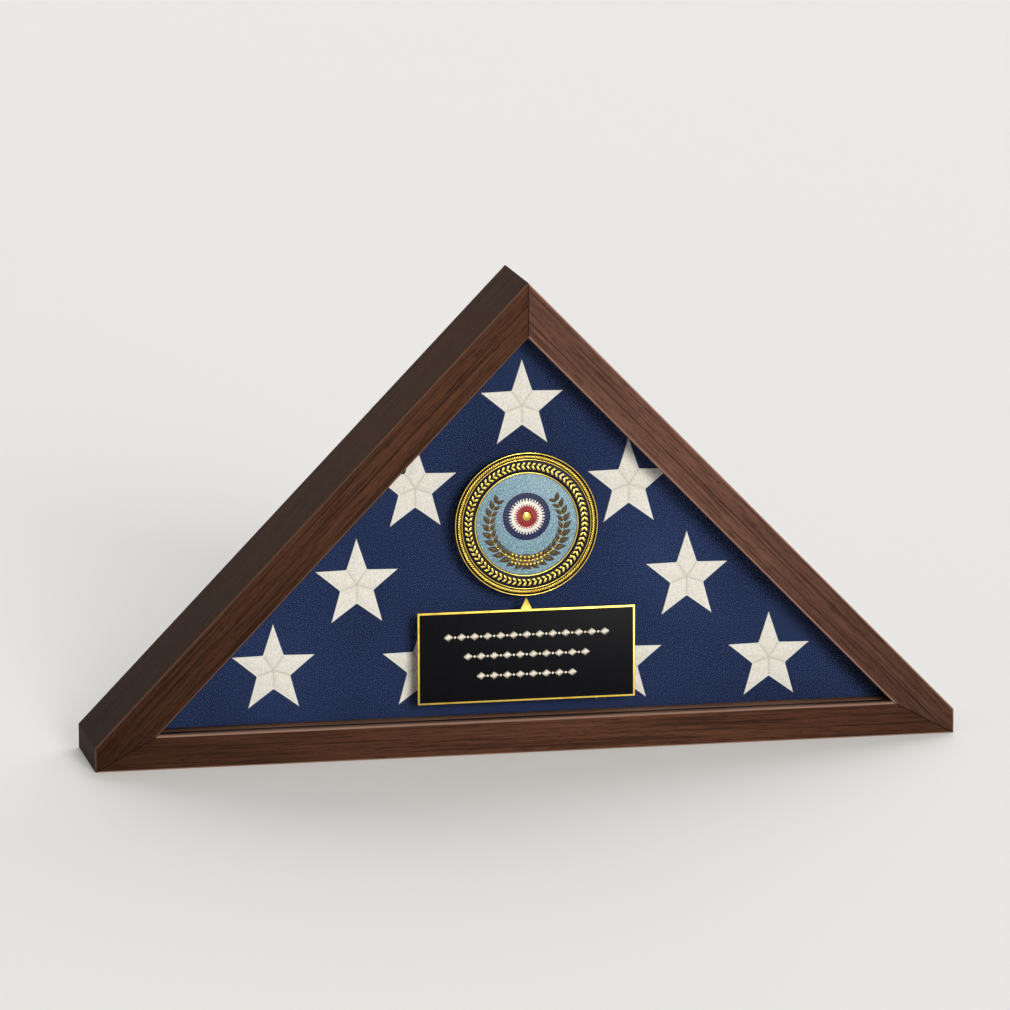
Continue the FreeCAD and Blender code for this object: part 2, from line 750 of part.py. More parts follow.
def hanger_ring():
    """Straight bar in the eye, two legs and a half-round end."""
    pieces = [rod("z", (ZERO, ZERO, f"-{RING_HALF}"), "ring_wire_radius", f"2 * {RING_HALF}")]
    for sign in "-+":
        pieces.append(ball(ZERO, f"{sign}{RING_HALF}"))
        pieces.append(rod("x", (ZERO, ZERO, f"{sign}{RING_HALF}"), "ring_wire_radius", "ring_leg"))
    bow = doc.addObject("Part::Torus", "bow")
    bow.Placement = Placement(Vector(), Rotation(Vector(1, 1, 1), 240))
    bow.Angle3 = 180
    bind(bow, Radius1=RING_HALF, Radius2="ring_wire_radius")
    pieces.append(place(bow, "ring_leg", ZERO, ZERO))
    return joined(*pieces)


def hanger_screw():
    return screw(STRAP_SCREW, ZERO, f"(strap_thickness - {RING_STAND})", "strap_thickness + screw_length")


for name, side in SIDES.items():
    node(f"{name}_hanger_strap", hang(hanger_strap(), side))
    node(f"{name}_hanger_ring", hang(hanger_ring(), side))
node("hanger_screws", group([hang(hanger_screw(), side) for side in SIDES.values()]))

BUMPER_LOW = "(case_width / 2 - bumper_tip_inset)"


def bumper(side, reach):
    """Soft foot with its rear corner taken off."""
    tall = f"({REAR} + bumper_height)"
    return turned("bumper", [
        (ZERO, REAR),
        ("bumper_radius", REAR),
        ("bumper_radius", f"{tall} - bumper_radius * 0.3"),
        ("bumper_radius * 0.7", tall),
        (ZERO, tall),
    ], (f"{side} * {reach}", side_z(f"{RIM} / 2", reach)))


node("wall_bumpers", group([
    bumper(side, reach) for side in SIDES.values() for reach in (BUMPER_LOW, "bumper_high_reach")
]))

doc.recompute()
for thing in doc.Objects:
    if {"Invalid", "Error"} & set(thing.State):
        raise RuntimeError(f"{thing.Label} did not build")
os.makedirs("parts", exist_ok=True)
for thing in nodes:
    if thing.Shape.isNull() or not thing.Shape.isValid():
        raise RuntimeError(f"{thing.Label} has no sound shape")
    thing.Shape.exportStep(f"parts/{thing.Label}.step")
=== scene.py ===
"""Looks of the folded flag display case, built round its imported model, in metres."""
import bmesh
import bpy
import json
from math import atan2, cos, exp, hypot, pi, radians, sin
from mathutils import Matrix, Vector, noise


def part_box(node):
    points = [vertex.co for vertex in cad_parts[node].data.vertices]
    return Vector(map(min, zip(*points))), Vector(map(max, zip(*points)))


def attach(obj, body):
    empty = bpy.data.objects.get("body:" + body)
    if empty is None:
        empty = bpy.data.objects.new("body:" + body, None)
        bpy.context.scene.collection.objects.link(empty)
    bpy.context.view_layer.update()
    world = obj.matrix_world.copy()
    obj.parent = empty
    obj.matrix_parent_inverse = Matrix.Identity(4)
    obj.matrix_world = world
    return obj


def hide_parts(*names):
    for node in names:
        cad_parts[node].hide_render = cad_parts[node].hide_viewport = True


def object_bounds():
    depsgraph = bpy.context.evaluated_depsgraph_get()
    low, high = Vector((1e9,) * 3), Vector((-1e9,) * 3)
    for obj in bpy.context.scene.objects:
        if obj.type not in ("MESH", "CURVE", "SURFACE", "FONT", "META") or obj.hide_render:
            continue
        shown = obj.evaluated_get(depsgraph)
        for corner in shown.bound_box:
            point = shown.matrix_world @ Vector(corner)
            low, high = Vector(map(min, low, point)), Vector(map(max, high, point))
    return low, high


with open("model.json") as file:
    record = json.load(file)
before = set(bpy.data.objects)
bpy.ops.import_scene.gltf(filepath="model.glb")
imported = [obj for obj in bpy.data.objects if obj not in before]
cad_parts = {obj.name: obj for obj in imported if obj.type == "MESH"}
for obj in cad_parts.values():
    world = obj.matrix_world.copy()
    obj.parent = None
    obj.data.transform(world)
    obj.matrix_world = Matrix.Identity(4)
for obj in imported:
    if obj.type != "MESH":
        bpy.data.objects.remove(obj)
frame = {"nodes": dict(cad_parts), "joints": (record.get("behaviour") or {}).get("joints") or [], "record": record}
cad_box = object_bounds()

MM = 0.001
FULL_TURN = 2 * pi
BODY_MEMBERS = frame["record"]["behaviour"]["bodies"]
BODIES = {node: body for body, members in BODY_MEMBERS.items() for node in members}
SLOTS = {row["node"]: row["material_slot"] for row in frame["record"]["subparts"]}
RING_AXIS = next(joint["axis"] for joint in frame["joints"] if joint["name"] == "left_ring_pivot")
LEAN = atan2(RING_AXIS[0], -RING_AXIS[2])

# The face frame has X to the right, Y up and Z towards the viewer. The rear frame has Y down and Z away from
# the viewer.
FACE = Matrix.Rotation(radians(90), 4, "X")
REAR = Matrix.Rotation(radians(-90), 4, "X")


def middle(node):
    """Middle of a CAD node's box."""
    low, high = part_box(node)
    return (low + high) / 2


def half_wide(node):
    """Half the width of a CAD node."""
    low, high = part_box(node)
    return (high.x - low.x) / 2


# Shader and geometry trees

class Socket:
    """An output of a node that takes part in arithmetic, adding Math nodes as it goes."""

    def __init__(self, tree, plug):
        self.tree = tree
        self.plug = plug

    def output(self, name):
        return Socket(self.tree, self.plug.node.outputs[name])

    def math(self, operation, first, second=0.0):
        return self.tree.node("ShaderNodeMath", {"operation": operation}, {0: first, 1: second})

    def __add__(self, other):
        return self.math("ADD", self, other)

    __radd__ = __add__

    def __sub__(self, other):
        return self.math("SUBTRACT", self, other)

    def __rsub__(self, other):
        return self.math("SUBTRACT", other, self)

    def __mul__(self, other):
        return self.math("MULTIPLY", self, other)

    __rmul__ = __mul__

    def sine(self):
        return self.math("SINE", self)

    def capped(self):
        """The value, or 1 where it is more."""
        return self.math("MINIMUM", self, 1.0)

    def between(self, low, high):
        """Smooth step from 0 at low to 1 at high."""
        sockets = {"Value": self, "From Min": low, "From Max": high}
        return self.tree.node("ShaderNodeMapRange", {"interpolation_type": "SMOOTHSTEP"}, sockets)


class Tree:
    """A shader or geometry tree."""

    def __init__(self, nodes):
        self.nodes = nodes

    def node(self, kind, settings=None, sockets=None, output=0):
        """Adds a node: its settings first, then the values or links of its sockets."""
        made = self.nodes.nodes.new(kind)
        for name, value in (settings or {}).items():
            if name == "stops":
                ramp = made.color_ramp.elements
                for index, (place, colour) in enumerate(value):
                    stop = ramp[index] if index < len(ramp) else ramp.new(place)
                    stop.position = place
                    stop.color = colour
            else:
                setattr(made, name, value)
        for name, value in (sockets or {}).items():
            self.join(value, made.inputs[name])
        return Socket(self, made.outputs[output]) if made.outputs else None

    def join(self, value, plug):
        """Links a socket to an input, or sets the input's own value."""
        if isinstance(value, Socket):
            self.nodes.links.new(value.plug, plug)
        else:
            plug.default_value = value


class Finish(Tree):
    """A material with one main shader."""

    def __init__(self, name, **fixed):
        self.material = bpy.data.materials.new(name)
        self.material.use_nodes = True
        super().__init__(self.material.node_tree)
        self.shader = self.nodes.nodes["Principled BSDF"]
        self.set(**fixed)

    def set(self, **values):
        """Sets or links sockets of the shader, with Base_Color for Base Color."""
        for name, value in values.items():
            self.join(value, self.shader.inputs[name.replace("_", " ")])

    def done(self, **values):
        """The material, with the last of its sockets set or linked."""
        self.set(**values)
        return self.material

    def spot(self, turn=0.0, shift=0.0):
        """Object coordinates turned about the depth axis, so that X runs along a rail, and shifted."""
        place = self.node("ShaderNodeTexCoord", output="Object")
        sockets = {"Vector": place, "Rotation": (0, turn, 0), "Location": (shift, shift, shift)}
        return self.node("ShaderNodeMapping", sockets=sockets)

    def scaled(self, spot, stretch):
        """Coordinates times one factor, or a factor for each axis."""
        factors = stretch if isinstance(stretch, tuple) else (stretch, stretch, stretch)
        return self.node("ShaderNodeVectorMath", {"operation": "MULTIPLY"}, {0: spot, 1: factors})

    def noise(self, spot, stretch, detail=2.0, roughness=0.5, distortion=0.0):
        """Noise with so many features a metre along each axis."""
        sockets = {"Vector": self.scaled(spot, stretch), "Scale": 1.0}
        sockets |= {"Detail": detail, "Roughness": roughness, "Distortion": distortion}
        return self.node("ShaderNodeTexNoise", {}, sockets)

    def cells(self, spot, stretch):
        """Distance from the middle of rounded cells, with so many cells a metre along each axis."""
        return self.node("ShaderNodeTexVoronoi", {}, {"Vector": self.scaled(spot, stretch), "Scale": 1.0})

    def colours(self, value, *stops):
        """Colour ramp of stops, each a place from 0 to 1 and its colour."""
        return self.node("ShaderNodeValToRGB", {"stops": stops}, {"Fac": value})

    def mix(self, share, under, over, blend="MIX"):
        """A share of one colour over another, or blended with it."""
        settings = {"data_type": "RGBA", "blend_type": blend}
        return self.node("ShaderNodeMix", settings, {0: share, 6: under, 7: over}, output=2)

    def attribute(self, name):
        """Value that a piece's mesh keeps at each corner."""
        return self.node("ShaderNodeAttribute", {"attribute_name": name}, output="Fac")

    def bump(self, height, depth):
        """Normal of a relief with a depth in metres."""
        return self.node("ShaderNodeBump", {}, {"Distance": depth, "Height": height})


class Grower(Tree):
    """A geometry tree with named inputs that ends in a plain mesh of one finish."""

    def __init__(self, name, **inputs):
        super().__init__(bpy.data.node_groups.new(name, "GeometryNodeTree"))
        face = self.nodes.interface
        for label, kind in {"Geometry": "Geometry", **inputs, "Finish": "Material"}.items():
            face.new_socket(label, in_out="INPUT", socket_type=f"NodeSocket{kind}")
        face.new_socket("Geometry", in_out="OUTPUT", socket_type="NodeSocketGeometry")
        self.inlet = self.node("NodeGroupInput")

    def given(self, name):
        """One of the tree's inputs."""
        return self.inlet.output(name)

    def shape(self):
        """Mesh of the object that is repeated."""
        return self.node("GeometryNodeObjectInfo", {}, {"Object": self.given("Shape")}, output="Geometry")

    def close(self, geometry):
        """Ends the tree in plain geometry of the given finish."""
        plain = self.node("GeometryNodeRealizeInstances", {}, {"Geometry": geometry})
        sockets = {"Geometry": plain, "Material": self.given("Finish")}
        coloured = self.node("GeometryNodeSetMaterial", {}, sockets)
        self.node("NodeGroupOutput", {}, {"Geometry": coloured})
        return self


def srgb(red, green, blue):
    """Linear colour of a display colour given in steps of 255."""
    shares = [step / 255 for step in (red, green, blue)]
    linear = [share / 12.92 if share <= 0.04045 else ((share + 0.055) / 1.055) ** 2.4 for share in shares]
    return (*linear, 1.0)


def shade(colour, share):
    """A colour made darker or lighter by a share."""
    return tuple(part * share for part in colour[:3]) + (1.0,)


# Finishes

# Features of the wood, so many a metre along its grain and across it
FIGURE = (5, 70, 70)
STREAKS = (34, 980, 980)
PORES = (85, 1150, 1150)
VEINS = (9, 620, 620)
FLECKS = (600, 1500, 1500)

# Painted light falloff: the palest spot of the frame, as if lit most there, and what its colour is multiplied by
# as painted shade as it nears the corners
PAINTED_LIGHT_MIDDLE = (60 * MM, 0.0, 200 * MM)
PAINTED_LIGHT_RADIUS = 50 * MM
PAINTED_FALLOFF_TONE = (0.24, 0.2, 0.15, 1)
PAINTED_FALLOFF_GAIN = 2.2
LIP_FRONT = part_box("bottom_rail")[0].y
LIP_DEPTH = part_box("glass_pane")[0].y - LIP_FRONT


def timber(name, turn, plain, painted_highlight, spread):
    """Oiled hardwood with its grain along a rail that leans by a turn, and its tones a spread apart.

    Painted shade darkens it towards the corners of the case, as light falling off from the middle; a painted
    highlight lightens the rounded front edges, and painted light the top of the lip in front of the glass.
    """
    wood = Finish(name, Specular_IOR_Level=0.04)
    run = wood.spot(turn, turn)
    figure = wood.noise(run, FIGURE, detail=2, distortion=0.6)
    streak = wood.noise(run, STREAKS, detail=4, roughness=0.65)
    pore = wood.noise(run, PORES, detail=2, roughness=0.6)
    vein = wood.noise(run, VEINS, detail=2, distortion=0.3)
    fleck = wood.noise(run, FLECKS, detail=2, roughness=0.7)
    tone = figure * 0.25 + streak * 0.55 + fleck * 0.2
    pores = pore.between(0.54, 0.62) * (0.4 + 0.6 * streak.between(0.6, 0.42))
    veins = vein.between(0.53, 0.64)
    stops = (0.36, shade(plain, 1 / spread)), (0.5, plain), (0.64, shade(plain, spread))
    colour = wood.colours(tone, *stops)
    colour = wood.mix(pores * 0.7, colour, shade(plain, spread ** -2.5))
    colour = wood.mix(veins * 0.7, colour, shade(plain, spread ** -3))
    place = wood.node("ShaderNodeTexCoord", output="Object")
    ends = {0: wood.scaled(place, (1, 0, 1)), 1: PAINTED_LIGHT_MIDDLE}
    apart = wood.node("ShaderNodeVectorMath", {"operation": "DISTANCE"}, ends, output="Value")
    # Painted shade: darker towards the corners, as light falling off from the middle of the frame.
    colour = wood.mix((apart - PAINTED_LIGHT_RADIUS) * PAINTED_FALLOFF_GAIN, colour, PAINTED_FALLOFF_TONE, "MULTIPLY")
    normal = wood.node("ShaderNodeTexCoord", output="Normal")
    facing = wood.node("ShaderNodeSeparateXYZ", {}, {"Vector": normal})
    forward = facing.output("Y") * -1.0
    # Painted highlight on the rounded front edges, where the normal turns partly away from the front.
    edge = forward.between(0.1, 0.3) * (1 - forward.between(0.9, 0.985))
    depth = wood.node("ShaderNodeSeparateXYZ", {}, {"Vector": place}, output="Y") - LIP_FRONT
    # Painted light on the upward face of the lip, fading towards the glass.
    lip = facing.output("Z").between(0.8, 0.98) * (1 - depth.between(0.5 * LIP_DEPTH, 0.8 * LIP_DEPTH))
    return wood.done(
        Base_Color=wood.mix((edge + lip).capped() * 0.85, colour, painted_highlight),
        Roughness=0.5 + 0.22 * streak - 0.14 * edge,
        Normal=wood.bump(streak * 0.5 - pores - veins, 0.12 * MM),
    )


def joint_line():
    """Darkened glue line of a mitre."""
    line = Finish("mitre_line", Roughness=0.8, Specular_IOR_Level=0.05)
    grain = line.noise(line.spot(), 600)
    return line.done(Base_Color=line.mix(grain, srgb(20, 11, 8), srgb(34, 20, 14)))


def navy_cotton():
    """Tightly woven cotton, dyed dark blue, with painted shade along the tucked fold."""
    cloth = Finish("navy_cotton", Roughness=0.86, Specular_IOR_Level=0.08)
    cloth.set(Sheen_Weight=0.06, Sheen_Roughness=0.45)
    spot = cloth.spot(radians(45))
    axes = cloth.node("ShaderNodeSeparateXYZ", {}, {"Vector": spot})
    thread_pitch = 2.0 * MM
    threads = FULL_TURN / thread_pitch
    warp = (axes.output("X") * threads).sine()
    weft = (axes.output("Z") * threads).sine()
    slub = cloth.noise(spot, 900, detail=3, roughness=0.6)
    fade = cloth.noise(spot, 9, detail=2)
    weave = warp * weft * 0.25 + slub
    colour = cloth.colours(
        slub * 0.6 + fade * 0.25 + warp * weft * 0.07 + 0.125,
        (0.36, srgb(18, 28, 55)), (0.55, srgb(30, 43, 78)), (0.74, srgb(48, 63, 106)),
    )
    # Painted shade along the tucked fold at the rear, where the crease lies in shadow.
    crease = cloth.attribute("crease") * 0.75
    colour = cloth.mix(crease, colour, srgb(7, 11, 24))
    return cloth.done(Base_Color=colour, Normal=cloth.bump(weave, 0.12 * MM))


def star_cotton():
    """Warm white sewn cotton, with painted shade along its seams."""
    cloth = Finish("star_cotton", Roughness=0.8, Specular_IOR_Level=0.2)
    cloth.set(Sheen_Weight=0.15, Sheen_Roughness=0.5)
    grain = cloth.noise(cloth.spot(), 1000, detail=3, roughness=0.7)
    colour = cloth.colours(grain, (0.35, srgb(213, 204, 196)), (0.65, srgb(243, 236, 229)))
    # Painted shade along the seams, where the puffed points dip.
    seam = cloth.attribute("seam") * 0.5
    colour = cloth.mix(seam, colour, srgb(150, 140, 124))
    return cloth.done(Base_Color=colour, Normal=cloth.bump(grain, 0.15 * MM))


def thread(name, colour):
    """Twisted sewing thread."""
    yarn = Finish(name, Specular_IOR_Level=0.3, Sheen_Weight=0.2)
    grain = yarn.noise(yarn.spot(), 2500)
    return yarn.done(Base_Color=yarn.mix(grain, shade(colour, 0.85), colour), Roughness=0.6 + 0.2 * grain)


def metal(name, colour, worn, roughness):
    """Plated or solid metal with fine rubbing marks and dulled patches."""
    sheet = Finish(name, Metallic=1.0)
    spot = sheet.spot()
    rubbing = sheet.noise(spot, (60, 900, 900), detail=3)
    patch = sheet.noise(spot, 110, detail=3)
    return sheet.done(
        Base_Color=sheet.mix(patch.between(0.45, 0.75), colour, worn),
        Roughness=roughness * 0.75 + roughness * 0.3 * rubbing + 0.12 * patch.between(0.5, 0.8),
        Normal=sheet.bump(rubbing, 0.02 * MM),
    )


def enamel(name, colour, speck, stipple, depth=0.05 * MM, gloss=0.3):
    """Baked enamel with specks of another tone at a given number of grains a metre."""
    paint = Finish(name, Specular_IOR_Level=gloss)
    grain = paint.noise(paint.spot(), stipple, detail=2)
    return paint.done(
        Base_Color=paint.mix(grain.between(0.42, 0.68), colour, speck),
        Roughness=0.32 + 0.25 * grain,
        Normal=paint.bump(grain, depth),
    )


def clear_glass():
    """Window glass: clear, with a mirror film that grows at a slant."""
    pane = Finish("clear_glass")
    clear = pane.node("ShaderNodeBsdfTransparent", {}, {"Color": (0.985, 0.995, 0.99, 1)})
    mirror = pane.node("ShaderNodeBsdfGlossy", {}, {"Color": (1, 1, 1, 1), "Roughness": 0.02})
    film = pane.node("ShaderNodeFresnel", {}, {"IOR": 1.15})
    film = film * (1 - pane.node("ShaderNodeNewGeometry", output="Backfacing"))
    whole = pane.node("ShaderNodeMixShader", {}, {0: film, 1: clear, 2: mirror})
    pane.nodes.nodes.remove(pane.shader)
    pane.join(whole, pane.nodes.nodes["Material Output"].inputs["Surface"])
    return pane.material


def pressed_board():
    """Dark pressed fibre board with a fine speckle of fibres."""
    board = Finish("pressed_board", Specular_IOR_Level=0.3)
    spot = board.spot()
    fibre = board.noise(spot, (260, 260, 900), detail=4, roughness=0.65)
    cloud = board.noise(spot, 14, detail=3)
    colour = board.colours(
        fibre * 0.7 + cloud * 0.14 + 0.13,
        (0.35, srgb(62, 41, 28)), (0.55, srgb(92, 63, 43)), (0.78, srgb(128, 92, 64)),
    )
    return board.done(Base_Color=colour, Roughness=0.5 + 0.2 * fibre, Normal=board.bump(fibre, 0.08 * MM))


def black_felt():
    """Felt facing with a soft nap."""
    felt = Finish("black_felt", Roughness=0.95, Specular_IOR_Level=0.1)
    felt.set(Sheen_Weight=0.25, Sheen_Roughness=0.4)
    spot = felt.spot()
    nap = felt.noise(spot, 900, detail=4, roughness=0.7)
    matted = felt.noise(spot, 70, detail=4, roughness=0.6)
    lint = felt.noise(spot, (420, 1500, 420), detail=1, distortion=1.5).between(0.7, 0.76)
    colour = felt.colours(nap * 0.6 + matted * 0.4, (0.34, srgb(13, 13, 16)), (0.66, srgb(50, 50, 55)))
    colour = felt.mix(lint * 0.5, colour, srgb(120, 118, 116))
    return felt.done(Base_Color=colour, Normal=felt.bump(nap + lint, 0.3 * MM))


def waxed_leather():
    """Dark brown leather with a pebbled grain, worn paler on its high spots."""
    hide = Finish("waxed_leather", Specular_IOR_Level=0.4)
    spot = hide.spot()
    pebble = hide.cells(spot, 1400)
    patch = hide.noise(spot, 180, detail=3)
    colour = hide.colours(
        patch - pebble * 0.25,
        (0.2, srgb(44, 24, 14)), (0.45, srgb(78, 44, 26)), (0.7, srgb(112, 68, 42)),
    )
    pebbling = hide.bump(0.6 - pebble, 0.15 * MM)
    return hide.done(Base_Color=colour, Roughness=0.45 + 0.25 * pebble, Normal=pebbling)


def matte_rubber():
    """Black moulded rubber with a dusty bloom."""
    foot = Finish("matte_rubber", Specular_IOR_Level=0.3)
    bloom = foot.noise(foot.spot(), 420, detail=4)
    return foot.done(
        Base_Color=foot.mix(bloom.between(0.4, 0.8), srgb(24, 24, 25), srgb(58, 57, 56)),
        Roughness=0.62 + 0.25 * bloom,
        Normal=foot.bump(bloom, 0.05 * MM),
    )


# The rails share one walnut: the left is darker as painted shade and the right paler as painted light, partly
# board-to-board tone, and the right rail's painted edge highlight is the brightest.
WALNUT_LEFT = timber("walnut_left", LEAN, srgb(83, 53, 38), srgb(112, 80, 62), 1.45)
WALNUT_RIGHT = timber("walnut_right", -LEAN, srgb(103, 71, 59), srgb(168, 130, 114), 1.45)
WALNUT_BASE = timber("walnut_base", 0.0, srgb(92, 59, 43), srgb(156, 124, 108), 1.4)
# The stops share one walnut: the side stops are darker as painted shade, and the bottom stop much paler as painted
# light on its upward face.
STOP_LEFT = timber("stop_left", LEAN, srgb(60, 38, 27), srgb(84, 58, 43), 1.4)
STOP_RIGHT = timber("stop_right", -LEAN, srgb(60, 38, 27), srgb(84, 58, 43), 1.4)
STOP_BASE = timber("stop_base", 0.0, srgb(170, 127, 105), srgb(188, 148, 124), 1.25)
MITRE_LINE = joint_line()
PALE_WOOD = timber("pale_beech", 0.0, srgb(190, 152, 108), srgb(212, 178, 134), 1.2)
NAVY_COTTON = navy_cotton()
STAR_COTTON = star_cotton()
STAR_THREAD = thread("star_thread", srgb(255, 252, 246))
TAB_THREAD = thread("tab_thread", srgb(206, 176, 128))
GOLD = metal("bright_gold", srgb(240, 212, 104), srgb(208, 174, 72), 0.3)
SATIN_GOLD = metal("satin_gold", srgb(236, 206, 96), srgb(206, 172, 70), 0.5)
BRASS = metal("hinge_brass", srgb(214, 176, 104), srgb(164, 124, 68), 0.34)
ZINC = metal("zinc_plate", srgb(196, 198, 200), srgb(150, 152, 152), 0.38)
NICKEL = metal("nickel_plate", srgb(214, 212, 206), srgb(186, 182, 174), 0.2)
BLACK_ENAMEL = enamel("black_enamel", srgb(9, 10, 13), srgb(16, 17, 21), 1500, gloss=0.05)
NAVY_ENAMEL = enamel("navy_enamel", srgb(19, 24, 62), srgb(31, 38, 86), 900)
BAND_ENAMEL = enamel("band_enamel", srgb(11, 14, 28), srgb(20, 25, 46), 900, gloss=0.1)
SKY_ENAMEL = enamel("sky_enamel", srgb(98, 134, 150), srgb(158, 184, 194), 900, 0.15 * MM)
WHITE_ENAMEL = enamel("white_enamel", srgb(236, 232, 222), srgb(214, 208, 196), 700)
RED_ENAMEL = enamel("red_enamel", srgb(132, 26, 32), srgb(162, 44, 46), 700)
LEAF_ENAMEL = enamel("leaf_enamel", srgb(64, 48, 28), srgb(104, 82, 44), 500)
CREAM_ENAMEL = enamel("cream_enamel", srgb(238, 231, 214), srgb(218, 208, 186), 700)
FOAM_TAPE = enamel("foam_tape", srgb(222, 222, 216), srgb(196, 196, 190), 1800, 0.2 * MM)
CLEAR_GLASS = clear_glass()
PRESSED_BOARD = pressed_board()
BLACK_FELT = black_felt()
WAXED_LEATHER = waxed_leather()
MATTE_RUBBER = matte_rubber()


# Meshes and pieces

DOUBLES = 0.001 * MM


def smooth_mesh(made):
    """Smooth-shaded mesh of a bmesh, which is freed."""
    for face in made.faces:
        face.smooth = True
    mesh = bpy.data.meshes.new("skin")
    made.to_mesh(mesh)
    made.free()
    return mesh


def meshed(made):
    """Smooth-shaded mesh of a bmesh, with doubles merged and faces pointing outwards."""
    bmesh.ops.remove_doubles(made, verts=made.verts, dist=DOUBLES)
    bmesh.ops.recalc_face_normals(made, faces=made.faces)
    return smooth_mesh(made)


def lofted(sections, ends="capped"):
    """Closed skin over a run of rings of points, with its ends capped, joined to each other or pointed."""
    made = bmesh.new()
    rings = [[made.verts.new(point) for point in section] for section in sections]
    pairs = list(zip(rings, rings[1:]))
    if ends == "joined":
        pairs.append((rings[-1], rings[0]))
    for ring, following in pairs:
        for index in range(len(ring)):
            after = (index + 1) % len(ring)
            made.faces.new((ring[index], ring[after], following[after], following[index]))
    if ends == "capped":
        made.faces.new(rings[0])
        made.faces.new(reversed(rings[-1]))
    return meshed(made)


def lathed(profile, steps):
    """Turns a profile of radii and heights round Z, where one that keeps off the axis closes on itself."""
    turns = [FULL_TURN * step / steps for step in range(steps)]
    sections = []
    for radius, height in profile:
        sections.append([(radius * cos(turn), radius * sin(turn), height) for turn in turns])
    off_axis = profile[0][0] > 0 and profile[-1][0] > 0
    return lofted(sections, "joined" if off_axis else "pointed")


def wire_profile(radius, thick, base, points=10):
    """Round section of a wire ring that lies on a base height."""
    turns = [FULL_TURN * point / points for point in range(points)]
    return [(radius + thick * cos(turn), base + thick * (1 + sin(turn))) for turn in turns]


def linked(name, data):
    """An object of a mesh, lamp or camera, in the scene."""
    thing = bpy.data.objects.new(name, data)
    bpy.context.scene.collection.objects.link(thing)
    return thing


def settled(thing):
    """Mesh of an object with its modifiers applied; the object goes."""
    bpy.context.view_layer.update()
    finished = thing.evaluated_get(bpy.context.evaluated_depsgraph_get())
    mesh = bpy.data.meshes.new_from_object(finished)
    bpy.data.objects.remove(thing)
    return mesh


def add(name, mesh, finish, *nodes, body=None, slot=None):
    """Links a mesh as a piece that stands for CAD nodes and rides on their body; the slot that it is given is not
    used.
    """
    mesh.name = name
    if finish:
        mesh.materials.clear()
        mesh.materials.append(finish)
    piece = linked(name, mesh)
    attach(piece, body or BODIES[nodes[0]])
    if nodes:
        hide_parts(*nodes)
    return piece


def faced(mesh, x, y, z, frame_turn=FACE):
    """Moves a mesh from the face frame, or the rear frame, to its place."""
    mesh.transform(Matrix.Translation((x, y, z)) @ frame_turn)
    return mesh


def joined_copy(node):
    """Bmesh copy of a CAD node, its loose triangles joined at their corners."""
    made = bmesh.new()
    made.from_mesh(frame["nodes"][node].data)
    bmesh.ops.remove_doubles(made, verts=made.verts, dist=DOUBLES)
    return made


def merged_copy(node):
    """Copy of a CAD node's mesh with its triangles joined into whole faces."""
    made = joined_copy(node)
    flat = radians(0.5)
    bmesh.ops.dissolve_limit(made, angle_limit=flat, verts=made.verts, edges=made.edges)
    return smooth_mesh(made)


def eased(node, width, segments, sharp, keep_flat):
    """Copy of a CAD node's mesh with rounded edges where its faces meet at more than a sharp angle."""
    thing = linked(f"{node}_host", merged_copy(node))
    bevel = thing.modifiers.new("arris", "BEVEL")
    bevel.width = width
    bevel.segments = segments
    bevel.limit_method = "ANGLE"
    bevel.angle_limit = radians(sharp)
    bevel.harden_normals = keep_flat
    return settled(thing)


def softened(node, finish, width):
    """Stands a copy of a rigid CAD node in for it, with its sharp edges taken off."""
    mesh = eased(node, width, segments=2, sharp=35, keep_flat=True)
    add(f"{node}_finished", mesh, finish, node)


def islands(node):
    """Lowest and highest corners of each separate solid of a CAD node, from left to right."""
    made = joined_copy(node)
    boxes = []
    left = set(made.verts)
    while left:
        found = [left.pop()]
        for vert in found:
            near = {edge.other_vert(vert) for edge in vert.link_edges} & left
            left -= near
            found.extend(near)
        places = [vert.co for vert in found]
        low = Vector([min(place[axis] for place in places) for axis in range(3)])
        high = Vector([max(place[axis] for place in places) for axis in range(3)])
        boxes.append((low, high))
    made.free()
    return sorted(boxes, key=lambda box: (box[0].x, box[0].z))


# Repeats by geometry nodes

def point_copies():
    """Sets a copy of a shape on every point."""
    tree = Grower("copies_at_points", Shape="Object")
    sockets = {"Points": tree.given("Geometry"), "Instance": tree.shape()}
    return tree.close(tree.node("GeometryNodeInstanceOnPoints", {}, sockets))


def path_copies():
    """Sets copies of a shape along paths, turned with them, leaning off them and smaller towards the end."""
    tree = Grower("copies_along_paths", Shape="Object", Spacing="Float", Lean="Float", Taper="Float")
    path = tree.node("GeometryNodeMeshToCurve", {}, {"Mesh": tree.given("Geometry")})
    sockets = {"Curve": path, "Length": tree.given("Spacing")}
    stations = tree.node("GeometryNodeResampleCurve", {"mode": "LENGTH"}, sockets)
    tangent = tree.node("GeometryNodeInputTangent")
    axes = {"axis": "X", "pivot_axis": "Z"}
    heading = tree.node("FunctionNodeAlignRotationToVector", axes, {"Vector": tangent})
    lean = tree.node("ShaderNodeCombineXYZ", {}, {"Z": tree.given("Lean")})
    turn = tree.node("FunctionNodeEulerToRotation", {}, {"Euler": lean})
    sockets = {"Rotation": heading, "Rotate By": turn}
    leaning = tree.node("FunctionNodeRotateRotation", {"rotation_space": "LOCAL"}, sockets)
    along = tree.node("GeometryNodeSplineParameter")
    size = 1 - tree.given("Taper") * along
    sockets = {"Points": stations, "Instance": tree.shape(), "Rotation": leaning, "Scale": size}
    return tree.close(tree.node("GeometryNodeInstanceOnPoints", {}, sockets))


AT_POINTS = point_copies()
ALONG_PATHS = path_copies()


